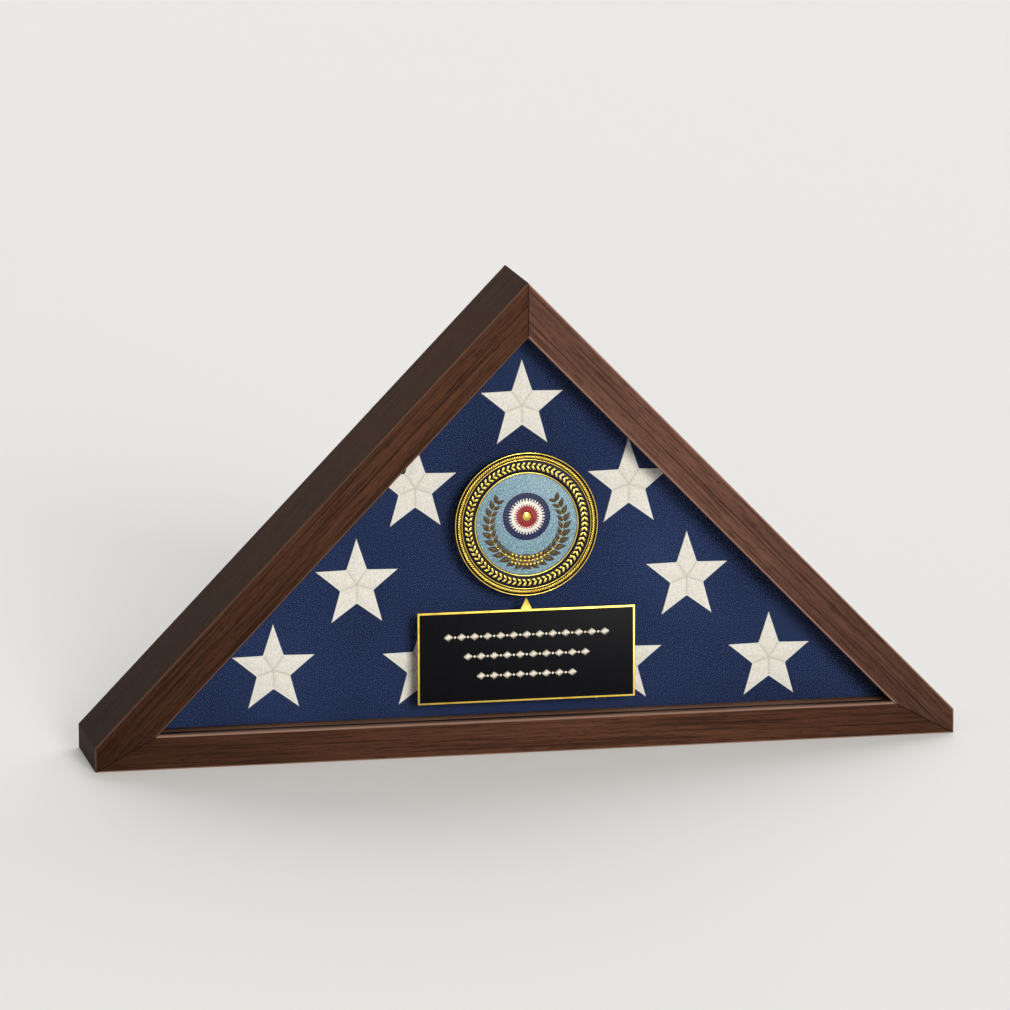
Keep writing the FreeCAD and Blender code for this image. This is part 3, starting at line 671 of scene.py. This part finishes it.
def grown(tree, host_mesh, shape_mesh, finish, **inputs):
    """Plain mesh of a geometry tree's result on a host mesh."""
    shape = linked("shape", shape_mesh)
    shape.hide_render = True
    host = linked("host", host_mesh)
    modifier = host.modifiers.new("repeat", "NODES")
    modifier.node_group = tree.nodes
    values = {"Shape": shape, "Finish": finish, **inputs}
    for item in tree.nodes.interface.items_tree:
        if item.in_out == "INPUT" and item.name in values:
            modifier[item.identifier] = values[item.name]
    mesh = settled(host)
    bpy.data.objects.remove(shape)
    return mesh


def set_out(places, shape, finish):
    """Plain mesh of copies of a shape at places."""
    points = bpy.data.meshes.new("points")
    points.from_pydata(places, [], [])
    return grown(AT_POINTS, points, shape, finish)


def strung(paths, shape, finish, spacing, lean=0.0, taper=0.0, closed=False):
    """Plain mesh of copies of a shape along runs of points, which may close on themselves."""
    places = []
    edges = []
    for path in paths:
        first = len(places)
        places.extend(path)
        last = len(path) if closed else len(path) - 1
        edges.extend((first + index, first + (index + 1) % len(path)) for index in range(last))
    lines = bpy.data.meshes.new("paths")
    lines.from_pydata(places, edges, [])
    return grown(ALONG_PATHS, lines, shape.copy(), finish, Spacing=spacing, Lean=lean, Taper=taper)


def ring_path(radius, height, start=0.0, end=360.0, steps=180):
    """Points round a ring in the face frame, or along a part of it, by degrees from its top to the right."""
    whole = end - start == 360
    stations = range(steps if whole else steps + 1)
    turns = [radians(start + (end - start) * station / steps) for station in stations]
    return [(radius * sin(turn), radius * cos(turn), height) for turn in turns]


def bead(length, width, height, rings=5, sides=6):
    """Small rounded grain along X, on the plane of its path, with blunt tips."""
    blunt = 0.15
    around = [FULL_TURN * side / sides for side in range(sides)]
    sections = []
    for ring in range(rings + 1):
        turn = pi * (ring + blunt) / (rings + 2 * blunt)
        x = -cos(turn) * length / 2
        half = sin(turn) * width / 2
        rise = sin(turn) * height / 2
        sections.append([(x, half * cos(angle), rise * sin(angle)) for angle in around])
    return lofted(sections)


def leaf(length, width, height, rings=7):
    """Pointed leaf along X from its stalk, with a sunk midrib, its underside a little below its path."""
    least_half = 0.04
    least_top = 0.1
    midrib = 0.45
    under = 0.1 * MM
    sections = []
    for ring in range(rings + 1):
        share = ring / rings
        half = width / 2 * max(sin(pi * share ** 0.8), least_half)
        top = height * max(sin(pi * share), least_top)
        crest = half / 2
        outline = [(-half, 0), (-crest, top), (0, top * midrib), (crest, top), (half, 0), (0, -under)]
        sections.append([(length * share, across, up) for across, up in outline])
    return lofted(sections)


# Rigid pieces, and how many millimetres are taken off their edges

SOFTENED = [
    ("left_stop", STOP_LEFT, 0.4),
    ("right_stop", STOP_RIGHT, 0.4),
    ("bottom_stop", STOP_BASE, 0.4),
    ("apex_spline", PALE_WOOD, 0.2),
    ("apex_block", PALE_WOOD, 0.4),
    ("nameplate_tape", FOAM_TAPE, 0.15),
    ("medallion_tape", FOAM_TAPE, 0.15),
    ("nameplate_backing", SATIN_GOLD, 0.35),
    ("nameplate_face", BLACK_ENAMEL, 0.2),
    ("medallion_disc", BLACK_ENAMEL, 0.3),
    ("medallion_band", BAND_ENAMEL, 0.1),
    ("medallion_field", SKY_ENAMEL, 0.1),
    ("back_panel", PRESSED_BOARD, 0.5),
    ("left_hinge_frame_leaf", BRASS, 0.15),
    ("right_hinge_frame_leaf", BRASS, 0.15),
    ("left_hinge_door_leaf", BRASS, 0.15),
    ("right_hinge_door_leaf", BRASS, 0.15),
    ("left_hinge_pin", BRASS, 0.25),
    ("right_hinge_pin", BRASS, 0.25),
    ("left_hanger_strap", ZINC, 0.2),
    ("right_hanger_strap", ZINC, 0.2),
    ("strike_plate", ZINC, 0.15),
    ("catch_magnet", NICKEL, 0.3),
]
for node, finish, width in SOFTENED:
    softened(node, finish, width * MM)


# Wooden frame

MITRE_EASE = 0.32 * MM
MITRE_SLANT = 0.2
TIP_MARGIN = 1 * MM


def rail(node, finish, turn):
    """A rail with its mitre edges eased, so that each joint shows as a fine dark line."""
    run = Vector((cos(turn), 0, sin(turn)))
    tip = cad_box[1].x - TIP_MARGIN
    made = bmesh.new()
    made.from_mesh(merged_copy(node))
    ends = [face for face in made.faces if abs(face.normal.dot(run)) > MITRE_SLANT]
    mitres = [face for face in ends if abs(face.calc_center_median().x) < tip]
    edges = list(dict.fromkeys(edge for face in mitres for edge in face.edges))
    bevel = {"offset": MITRE_EASE, "offset_type": "OFFSET", "segments": 1, "profile": 0.5, "affect": "EDGES"}
    for face in bmesh.ops.bevel(made, geom=edges, **bevel)["faces"]:
        face.material_index = 1
    mesh = smooth_mesh(made)
    mesh.set_sharp_from_angle(angle=radians(32))
    mesh.materials.append(finish)
    mesh.materials.append(MITRE_LINE)
    thing = linked(f"{node}_host", mesh)
    flat = thing.modifiers.new("flat", "WEIGHTED_NORMAL")
    flat.weight = 100
    flat.keep_sharp = True
    add(f"{node}_finished", settled(thing), None, node)


rail("left_rail", WALNUT_LEFT, LEAN)
rail("right_rail", WALNUT_RIGHT, -LEAN)
rail("bottom_rail", WALNUT_BASE, 0.0)


# Pieces that keep their CAD mesh

PLAIN = {
    "glass_pane": CLEAR_GLASS,
    "corner_nails": ZINC,
    "stop_brads": ZINC,
    "left_hanger_ring": ZINC,
    "right_hanger_ring": ZINC,
}
for node, finish in PLAIN.items():
    for slot in frame["nodes"][node].material_slots:
        slot.material = finish


# Folded flag and its sewn stars

def soft_copy(node, voxel, easing):
    """Evenly meshed copy of a soft CAD solid, with its corners eased."""
    thing = linked(f"{node}_host", merged_copy(node))
    even = thing.modifiers.new("even", "REMESH")
    even.mode = "VOXEL"
    even.voxel_size = voxel
    ease = thing.modifiers.new("ease", "SMOOTH")
    ease.iterations = easing
    mesh = settled(thing)
    for face in mesh.polygons:
        face.use_smooth = True
    return mesh


def step_up(value, low, high):
    """Smooth step from 0 at low to 1 at high."""
    share = min(max((value - low) / (high - low), 0), 1)
    return share * share * (3 - 2 * share)


def folded_flag():
    """The bundle, with soft ripples and, at the rear, the last flap tucked under a rolled slanting edge."""
    # Ripples a metre along slanting axes, and wrinkles a metre along the tucked edge and beyond it
    ripples = Matrix(((14, 0, 9), (0, 20, 0), (-9, 0, 14)))
    wrinkles = Matrix(((22, 0), (12, 75)))
    ripple = 0.45 * MM
    flap = 4.8 * MM
    roll = 1.2 * MM
    roll_width = 9 * MM
    crease = 1.3 * MM
    pull = 1.5 * MM
    pull_reach = 45 * MM
    low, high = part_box("folded_flag")
    tuck_from = Vector((low.x, low.z))
    tuck_to = Vector((high.x / 2, (low.z + high.z) / 2))
    tuck_run = (tuck_to - tuck_from).normalized()
    tuck_side = Vector((-tuck_run.y, tuck_run.x))
    mesh = soft_copy("folded_flag", voxel=2.6 * MM, easing=4)
    normals = [vert.normal.copy() for vert in mesh.vertices]
    crease_shades = mesh.attributes.new("crease", "FLOAT", "POINT")
    for vert, normal, shadow in zip(mesh.vertices, normals, crease_shades.data):
        place = vert.co.copy()
        on_rear = Vector((place.x, place.z))
        sink = ripple * (0.5 + 0.5 * noise.noise(ripples @ place))
        rear = step_up(normal.y, 0.35, 0.95)
        beyond = (on_rear - tuck_from).dot(tuck_side)
        over = step_up(beyond, -crease, crease)
        along = -on_rear.dot(tuck_run)
        wrinkle = 0.5 + 0.5 * noise.noise((*(wrinkles @ Vector((along, beyond))), over))
        sink += rear * flap * (1 - over)
        sink += rear * roll * over * (1 - exp(-max(beyond, 0) / roll_width))
        sink += rear * pull * wrinkle * exp(-abs(beyond) / pull_reach)
        # Painted shade along the tucked edge, kept in the crease attribute for the cloth's colour.
        shadow.value = rear * exp(-abs(beyond + crease) / (2 * crease))
        vert.co = place - normal * sink
    add("folded_flag_bundle", mesh, NAVY_COTTON, "folded_flag")


STAR_POINTS = 5
STAR_STEP = radians(36)
STAR_NOTCH = 0.4
STAR_SKIRT = 0.85 * MM
STAR_EDGE = 3.2 * MM
STAR_FOLD = 2.6 * MM
# Width of the painted shade along a star's seams
STAR_SEAM = 0.45 * MM
STAR_DIP = 0.8
STAR_PUFF = 0.9 * MM
STAR_SLIVER = 0.002 * MM


def star_notch(radius):
    """Where the notch beside a star's upright point lies, across and up from the star's middle."""
    return radius * STAR_NOTCH * sin(STAR_STEP), radius * STAR_NOTCH * cos(STAR_STEP)


def star_rise(across, up, radius, puff):
    """Height of a sewn star's skin, and how near a seam it is for the painted seam shade, at a spot of its upright
    point.
    """
    side, knee = star_notch(radius)
    to_seam = abs(abs(across) * knee - up * side) / hypot(side, knee)
    to_edge = ((radius - up) * side - abs(across) * (radius - knee)) / hypot(side, radius - knee)
    edge = 1 - STAR_DIP * exp(-max(to_edge, 0) / STAR_EDGE)
    fold = 1 - STAR_DIP * exp(-to_seam / STAR_FOLD)
    return puff * edge * fold, exp(-to_seam / STAR_SEAM)


def star(radius, puff, rows=26, columns=8):
    """One star in the face frame: five puffed points that meet in seams, with a skirt sunk in the cloth."""
    side, knee = star_notch(radius)
    made = bmesh.new()
    seams = made.verts.layers.float.new("seam")
    for point in range(STAR_POINTS):
        turn = Matrix.Rotation(-2 * STAR_STEP * point, 3, "Z")
        grid = []
        for row in range(rows + 1):
            up = radius * (row / rows) ** 0.85
            half = side * min(up / knee, (radius - up) / (radius - knee))
            line = []
            for column in range(-columns, columns + 1):
                across = half * sin(pi / 2 * column / columns)
                rise, seam = star_rise(across, up, radius, puff)
                vert = made.verts.new(turn @ Vector((across, up, rise)))
                vert[seams] = seam
                line.append(vert)
            grid.append(line)
        for line, following in zip(grid, grid[1:]):
            for index in range(2 * columns):
                made.faces.new((line[index], line[index + 1], following[index + 1], following[index]))
    bmesh.ops.remove_doubles(made, verts=made.verts, dist=STAR_SLIVER)
    bmesh.ops.dissolve_degenerate(made, edges=made.edges, dist=STAR_SLIVER)
    rim = [edge for edge in made.edges if edge.is_boundary]
    skirt = bmesh.ops.extrude_edge_only(made, edges=rim)["geom"]
    for vert in skirt:
        if isinstance(vert, bmesh.types.BMVert):
            vert.co.z = -STAR_SKIRT
    bmesh.ops.holes_fill(made, edges=[edge for edge in made.edges if edge.is_boundary])
    return meshed(made)


def star_outline(radius, inset, puff):
    """Middle line of the stitching inside a star's edge, drawn in further at the tips than in the notches."""
    tip = radius - inset * 3.2
    notch = radius * STAR_NOTCH - inset * 0.6
    rise = puff * (1 - STAR_DIP * exp(-inset / STAR_EDGE))
    line = []
    for corner in range(2 * STAR_POINTS):
        reach = notch if corner % 2 else tip
        turn = STAR_STEP * corner
        line.append((reach * sin(turn), reach * cos(turn), rise))
    return line


def star_middle(low, high, half, drop):
    """Middle of a star in the face frame, from its box, which the edge of the bundle may cut short."""
    inner = low.x + half if low.x + high.x > 0 else high.x - half
    return (inner, low.z + drop, 0)


def sewn_stars():
    """The stars on the bundle's front, and slanting stitches along their edges."""
    boxes = islands("flag_stars")
    wide = max(high.x - low.x for low, high in boxes)
    tall = max(high.z - low.z for low, high in boxes)
    radius = wide / (2 * sin(2 * STAR_STEP))
    stretch = tall / (radius * (1 + cos(STAR_STEP)))
    front, seat = (corner.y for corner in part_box("flag_stars"))
    puff = seat - front + STAR_PUFF
    drop = radius * stretch * cos(STAR_STEP)
    places = [star_middle(low, high, wide / 2, drop) for low, high in boxes]
    shape = star(radius, puff)
    shape.transform(Matrix.Diagonal((1, stretch, 1, 1)))
    stars = set_out(places, shape, STAR_COTTON)
    add("sewn_stars", faced(stars, 0, seat, 0), STAR_COTTON, "flag_stars")
    outline = star_outline(radius, 0.75 * MM, puff)
    lines = [[(x + across, y * stretch + up, z) for x, y, z in outline] for across, up, _ in places]
    stitch = bead(1.5 * MM, 0.8 * MM, 0.55 * MM, rings=3, sides=5)
    sewing = strung(lines, stitch, STAR_THREAD, spacing=0.75 * MM, lean=radians(70), closed=True)
    add("star_stitching", faced(sewing, 0, seat, 0), STAR_THREAD, body="case", slot=SLOTS["flag_stars"])


folded_flag()
sewn_stars()


# Name plate

LOZENGE_PITCH = 10.0 * MM
# Rows from the top: how far up the face each lies, as a share of it, and how many lozenges it has
LOZENGE_ROWS = [(0.735, 13), (0.51, 10), (0.285, 8)]


def engraving():
    """Three rows of lozenges and dots, each row shorter than the one above, across the black face."""
    low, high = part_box("nameplate_face")
    lozenge = bead(6.6 * MM, 6.0 * MM, 0.3 * MM, rings=2, sides=4)
    dot = bead(1.9 * MM, 1.9 * MM, 0.3 * MM, sides=8)
    # A hair under the pitch, so that the last copy on a line isn't lost
    spacing = LOZENGE_PITCH * 0.999
    whole = bmesh.new()
    for share, count in LOZENGE_ROWS:
        up = low.z + share * (high.z - low.z)
        reach = LOZENGE_PITCH * (count - 1) / 2
        for shape, half in ((lozenge, reach), (dot, reach - LOZENGE_PITCH / 2)):
            line = [(-half, up, 0), (half, up, 0)]
            whole.from_mesh(strung([line], shape, CREAM_ENAMEL, spacing))
    mesh = faced(meshed(whole), middle("nameplate_face").x, low.y, 0)
    add("nameplate_engraving", mesh, CREAM_ENAMEL, body="case", slot="gold")


def pointer():
    """Gilt spike that stands on the plate and points at the medallion."""
    low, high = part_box("nameplate_pointer")
    wide = high.x - low.x
    tall = high.z - low.z
    thick = high.y - low.y
    rows = 12
    tip_half = 0.05 * MM
    tip_crown = 0.45
    shoulder = 0.3
    sections = []
    for row in range(rows + 1):
        share = row / rows
        half = wide / 2 * (1 - share) ** 1.15 + tip_half * share
        crown = thick * (tip_crown + (1 - tip_crown) * (1 - share))
        edge = crown * shoulder
        outline = [(-half, 0), (-half, edge), (0, crown), (half, edge), (half, 0)]
        sections.append([(across, tall * share, rise) for across, rise in outline])
    spike = lofted(sections)
    spike.set_sharp_from_angle(angle=radians(25))
    add("nameplate_spike", faced(spike, (low.x + high.x) / 2, high.y, low.z), SATIN_GOLD, "nameplate_pointer")


engraving()
pointer()


# Medallion

MEDAL = middle("medallion_disc")
# The medallion is centred on X 0, so the highest X of its disc or its ring is a radius
MEDAL_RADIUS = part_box("medallion_disc")[1].x
RING_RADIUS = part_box("medallion_ring")[1].x
DISC_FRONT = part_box("medallion_disc")[0].y
BAND_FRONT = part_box("medallion_band")[0].y
FIELD_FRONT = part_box("medallion_field")[0].y
RIM_WIDE = 5.7 * MM
RIM_THICK = 0.35 * MM
RING_STEPS = 128


def on_medal(mesh, front):
    """Moves a mesh from the face frame to the medallion's middle, at the front of one of its layers."""
    return faced(mesh, MEDAL.x, front, MEDAL.z)


def gilt(name, mesh):
    """Adds a gold ornament that no CAD node stands for."""
    add(name, mesh, GOLD, body="case", slot="gold")


def medal_rim():
    """Dark ground with a gold edge wire, a twisted rope and an inner wire."""
    edge = MEDAL_RADIUS
    inner = edge - RIM_WIDE
    outer = edge - 0.1 * MM
    section = [(inner, 0), (outer, 0), (outer, RIM_THICK), (inner, RIM_THICK)]
    ground = on_medal(lathed(section, RING_STEPS), DISC_FRONT)
    add("rim_ground", ground, BLACK_ENAMEL, "medallion_rim", slot="black_enamel")
    wires = [("rim_edge_wire", edge - 0.42 * MM, 0.4 * MM), ("rim_inner_wire", inner + 0.36 * MM, 0.34 * MM)]
    for name, radius, thick in wires:
        wire = lathed(wire_profile(radius, thick, 0.25 * MM), RING_STEPS)
        gilt(name, on_medal(wire, DISC_FRONT))
    strand = bead(3.7 * MM, 1.25 * MM, 1.5 * MM, rings=6, sides=7)
    line = ring_path(edge - 3.2 * MM, 0.75 * MM)
    rope = strung([line], strand, GOLD, spacing=1.9 * MM, lean=radians(38), closed=True)
    gilt("rim_rope", on_medal(rope, DISC_FRONT))


def band_garland():
    """Laurel garland round the navy band: paired leaves and small berries."""
    radius = (half_wide("medallion_band") + RING_RADIUS) / 2
    blade = leaf(4.4 * MM, 1.9 * MM, 0.5 * MM)
    spacing = 3.9 * MM
    whole = bmesh.new()
    for lean in (-38, 38):
        line = ring_path(radius, 0)
        whole.from_mesh(strung([line], blade, GOLD, spacing, radians(lean), closed=True))
    berry = bead(0.95 * MM, 0.95 * MM, 0.8 * MM)
    first_berry = 2.0
    for reach in (-2.3 * MM, 2.3 * MM):
        line = ring_path(radius + reach, 0.1 * MM, first_berry, first_berry + 360)
        whole.from_mesh(strung([line], berry, GOLD, spacing * (1 + reach / radius), closed=True))
    gilt("band_garland", on_medal(meshed(whole), BAND_FRONT))


def medal_ring():
    """Gold wire between the band and the field."""
    radius = RING_RADIUS - 0.75 * MM
    wire = lathed(wire_profile(radius, 0.55 * MM, 0.0), RING_STEPS)
    add("field_wire", on_medal(wire, DISC_FRONT), GOLD, "medallion_ring")


def frill(inner, outer, pleats, low, high, depth):
    """Pleated ribbon ring in the face frame that slopes down to its scalloped outer edge."""
    steps = pleats * 4
    rows = 6
    scallop = 0.25 * MM
    sections = []
    for step in range(steps):
        turn = FULL_TURN * step / steps
        fold = cos(turn * pleats)
        section = []
        for row in range(rows + 1):
            share = row / rows
            radius = inner + (outer - inner) * share
            height = high + (low - high) * share + depth * fold * (0.25 + 0.75 * share)
            reach = radius + (scallop * fold if row == rows else 0)
            section.append((reach * cos(turn), reach * sin(turn), height))
        section.append((outer * cos(turn), outer * sin(turn), 0))
        section.append((inner * cos(turn), inner * sin(turn), 0))
        sections.append(section)
    return lofted(sections, "joined")


# Ribbon rings: inner and outer shares of the rosette's radius, pleats, and heights at the rim and the crown
RIBBONS = [
    ("cockade_navy_frill", ["medallion_rosette"], NAVY_ENAMEL, 0.66, 1.0, 44, 0.35 * MM, 0.65 * MM),
    ("cockade_white_frill", [], WHITE_ENAMEL, 0.44, 0.76, 36, 0.55 * MM, 0.9 * MM),
    ("cockade_red_frill", [], RED_ENAMEL, 0.2, 0.52, 28, 0.8 * MM, 1.15 * MM),
]
PLEAT_DEPTH = 0.16 * MM
# Radii and heights of the button, in millimetres
BUTTON = [
    (0, 1.6), (1.2, 1.55), (2.2, 1.35), (2.6, 1.15), (2.75, 1.0),
    (3.1, 1.05), (3.3, 0.9), (3.3, 0.0), (0, 0.0),
]


def cockade():
    """Ribbon rosette of three pleated rings round a gold button."""
    place = middle("medallion_rosette")
    radius = half_wide("medallion_rosette")
    for name, nodes, finish, inner, outer, pleats, rim, crown in RIBBONS:
        ribbon = frill(inner * radius, outer * radius, pleats, rim, crown, PLEAT_DEPTH)
        ribbon = faced(ribbon, place.x, FIELD_FRONT, place.z)
        add(name, ribbon, finish, *nodes, body="case", slot="rosette_enamel")
    cap = lathed([(reach * MM, height * MM) for reach, height in BUTTON], 40)
    gilt("cockade_button", faced(cap, place.x, FIELD_FRONT, place.z))


def wreath():
    """Two laurel branches that cross at the bottom, under a cluster of berries."""
    radius = half_wide("medallion_wreath") - 5.9 * MM
    outer_blade = leaf(10.4 * MM, 4.9 * MM, 0.9 * MM)
    inner_blade = leaf(8.6 * MM, 3.7 * MM, 0.9 * MM)
    twig = bead(2.4 * MM, 1.0 * MM, 0.9 * MM, rings=4)
    berry = bead(2.3 * MM, 2.3 * MM, 1.7 * MM, sides=8)
    foot = 180
    crossing = 8
    sweep = 126
    leaves = bmesh.new()
    golden = bmesh.new()
    for side in (-1, 1):
        line = ring_path(radius, 0.1 * MM, foot - side * crossing, foot + side * sweep, 60)
        for blade, lean in ((outer_blade, 40), (inner_blade, -40)):
            angle = side * radians(lean)
            row = strung([line], blade, LEAF_ENAMEL, spacing=5.4 * MM, lean=angle, taper=0.25)
            leaves.from_mesh(row)
        golden.from_mesh(strung([line], twig, GOLD, spacing=1.6 * MM, taper=0.5))
    for reach, spread in ((-3.2 * MM, 26), (-0.4 * MM, 36), (2.4 * MM, 22)):
        line = ring_path(radius + reach, 0.7 * MM, foot - spread, foot + spread, 60)
        golden.from_mesh(strung([line], berry, GOLD, spacing=2.9 * MM))
    add("wreath_leaves", on_medal(meshed(leaves), FIELD_FRONT), LEAF_ENAMEL, "medallion_wreath")
    gilt("wreath_berries", on_medal(meshed(golden), FIELD_FRONT))


medal_rim()
band_garland()
medal_ring()
cockade()
wreath()


# Rear: pad, screws, pull tab and bumpers

QUARTER_ROUND = [radians(degrees) for degrees in range(15, 105, 15)]
SCREW_HEAD = 1.4 * MM
SCREW_SHANK = 1.2 * MM


def felt_pad():
    """Felt-faced foam that presses on the bundle."""
    mesh = soft_copy("flag_pad", voxel=3.4 * MM, easing=3)
    add("felt_pad", mesh, BLACK_FELT, "flag_pad")


def screw(head_radius, head_height, shank_radius, length):
    """Pan-head screw in the rear frame, its head on the plane Z 0, with a crossed slot."""
    rim = 0.45 * head_height
    profile = [(0, head_height)]
    for turn in QUARTER_ROUND:
        profile.append((head_radius * sin(turn), rim + (head_height - rim) * cos(turn)))
    profile += [(head_radius, 0), (shank_radius, 0)]
    threads = 10
    pitch = length / (threads + 1.5)
    for ridge in range(threads):
        root = -pitch * (ridge + 0.3)
        profile += [(shank_radius * 0.78, root), (shank_radius, root - pitch / 2)]
    profile += [(shank_radius * 0.6, -length * 0.94), (0, -length)]
    body = linked("screw_body", lathed(profile, 28))
    made = bmesh.new()
    arm = Matrix.Diagonal((head_radius * 1.25, head_radius * 0.26, head_height * 1.1, 1))
    lift = Matrix.Translation((0, 0, head_height))
    for turn in (0, 90):
        spin = Matrix.Rotation(radians(turn), 4, "Z")
        bmesh.ops.create_cube(made, size=1, matrix=spin @ lift @ arm)
    slot = linked("screw_slot", meshed(made))
    cut = body.modifiers.new("slot", "BOOLEAN")
    cut.operation = "DIFFERENCE"
    cut.object = slot
    cut.use_self = True
    mesh = settled(body)
    bpy.data.objects.remove(slot)
    mesh.set_sharp_from_angle(angle=radians(40))
    return mesh


def rear_middles(boxes):
    """Middles of boxes in the rear frame."""
    return [((low.x + high.x) / 2, -(low.z + high.z) / 2, 0) for low, high in boxes]


def screw_set(node, finish):
    """Screws where a CAD node has them, with their heads to the rear."""
    boxes = islands(node)
    head_radius = max(high.z - low.z for low, high in boxes) / 2
    seat = boxes[0][1].y - SCREW_HEAD
    shape = screw(head_radius, SCREW_HEAD, SCREW_SHANK, seat - boxes[0][0].y)
    mesh = set_out(rear_middles(boxes), shape, finish)
    add(f"{node}_finished", faced(mesh, 0, seat, 0, REAR), finish, node)


def pull_tab():
    """Leather strap with rounded edges and a sewn border."""
    low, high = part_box("pull_tab")
    mesh = eased("pull_tab", 0.55 * MM, segments=3, sharp=50, keep_flat=False)
    add("leather_tab", mesh, WAXED_LEATHER, "pull_tab")
    side_inset = 1.7 * MM
    end_inset = 4.5 * MM
    half = half_wide("pull_tab") - side_inset
    top = -high.z + end_inset
    foot = -low.z - end_inset
    line = [(-half, top, 0), (half, top, 0), (half, foot, 0), (-half, foot, 0)]
    stitch = bead(1.9 * MM, 0.5 * MM, 0.4 * MM, rings=4)
    sewing = strung([line], stitch, TAB_THREAD, spacing=2.7 * MM, closed=True)
    add("tab_stitching", faced(sewing, 0, high.y, 0, REAR), TAB_THREAD, body="back_door", slot="leather")


def bumpers():
    """Rubber feet with a flange and a domed, dimpled end."""
    boxes = islands("wall_bumpers")
    low, high = boxes[0]
    radius = (high.x - low.x) / 2
    tall = high.y - low.y
    waist = radius * 0.95
    dome = radius * 0.5
    profile = [(0, 0), (radius, 0), (radius, tall * 0.12), (waist, tall * 0.16), (waist, tall / 2)]
    for turn in QUARTER_ROUND:
        profile.append((waist - dome + dome * cos(turn), tall / 2 * (1 + sin(turn))))
    profile += [(radius * 0.3, tall * 0.96), (0, tall * 0.94)]
    feet = set_out(rear_middles(boxes), lathed(profile, 32), MATTE_RUBBER)
    add("rubber_bumpers", faced(feet, 0, low.y, 0, REAR), MATTE_RUBBER, "wall_bumpers")


felt_pad()
screw_set("hinge_frame_screws", BRASS)
screw_set("hinge_door_screws", BRASS)
screw_set("hanger_screws", ZINC)
screw_set("pull_tab_screw", BRASS)
softened("strike_screw", ZINC, 0.1 * MM)
pull_tab()
bumpers()


# Stage, light and camera

# Camera fitted to the photograph: metres, with its lens and sensor in millimetres
CAMERA_YAW = radians(11.195)
CAMERA_PITCH = radians(10.826)
CAMERA_ROLL = radians(-0.183)
CAMERA_DISTANCE = 5.4836
CAMERA_LENS = 258.99
CAMERA_SENSOR = 36.0
CAMERA_REACH = 100.0
CAMERA_AIM = Vector((-0.00945, 0.0, 0.18217))

FLOOR_HALF = 20.0
FLOOR_TONE = srgb(229, 227, 223)
FLOOR_GLOW = 0.23
WORLD_TONE = (0.93, 0.94, 0.95, 1)
WORLD_LIGHT = 0.28
WORLD_GLOW = 0.36


def shown(tree):
    """1 for rays that show a surface straight, mirrored or through glass, and 0 for those that only light."""
    path = tree.node("ShaderNodeLightPath", output="Is Camera Ray")
    return (path + path.output("Is Glossy Ray") + path.output("Is Transmission Ray")).capped()


def stage():
    """Wide pale floor that glows a little where it is seen, and keeps the shadow of the case."""
    mesh = bpy.data.meshes.new("floor")
    corners = [(-1, -1), (1, -1), (1, 1), (-1, 1)]
    mesh.from_pydata([(x * FLOOR_HALF, y * FLOOR_HALF, 0) for x, y in corners], [], [(0, 1, 2, 3)])
    floor = linked("floor", mesh)
    pale = Finish("pale_floor", Base_Color=FLOOR_TONE, Roughness=0.9, Specular_IOR_Level=0.1)
    pale.set(
        Emission_Color=pale.mix(shown(pale), (0, 0, 0, 1), FLOOR_TONE),
        Emission_Strength=FLOOR_GLOW,
    )
    mesh.materials.append(pale.material)


def studio_world():
    """Even pale surroundings that fill the shadows softly and show as pale behind the case."""
    world = bpy.data.worlds.new("studio")
    world.use_nodes = True
    bpy.context.scene.world = world
    tree = Tree(world.node_tree)
    ground = world.node_tree.nodes["Background"]
    tree.join(WORLD_TONE, ground.inputs["Color"])
    tree.join(shown(tree) * WORLD_GLOW + WORLD_LIGHT, ground.inputs["Strength"])


def soft_light(name, heading, strength, spread, colour):
    """Distant light along a heading, softened by the angle that it spreads over."""
    data = bpy.data.lights.new(name, "SUN")
    data.energy = strength
    data.angle = radians(spread)
    data.color = colour
    light = linked(name, data)
    light.rotation_euler = Vector(heading).to_track_quat("-Z", "Y").to_euler()


def camera():
    """Camera at its distance from the aim, turned by its yaw, pitch and roll."""
    data = bpy.data.cameras.new("camera")
    data.lens = CAMERA_LENS
    data.sensor_width = CAMERA_SENSOR
    data.clip_end = CAMERA_REACH
    back = Vector((
        -sin(CAMERA_YAW) * cos(CAMERA_PITCH),
        -cos(CAMERA_YAW) * cos(CAMERA_PITCH),
        sin(CAMERA_PITCH),
    ))
    eye = linked("camera", data)
    eye.matrix_world = (
        Matrix.Translation(CAMERA_AIM + back * CAMERA_DISTANCE)
        @ (-back).to_track_quat("-Z", "Y").to_matrix().to_4x4()
        @ Matrix.Rotation(CAMERA_ROLL, 4, "Z")
    )
    bpy.context.scene.camera = eye


stage()
studio_world()
soft_light("key", heading=(-0.13, 0.95, -0.27), strength=2.5, spread=18, colour=(1.0, 0.975, 0.94))
soft_light("rear", heading=(-0.45, -0.75, -0.5), strength=2.0, spread=60, colour=(0.97, 0.98, 1.0))
camera()
bpy.context.scene.view_settings.view_transform = "Standard"
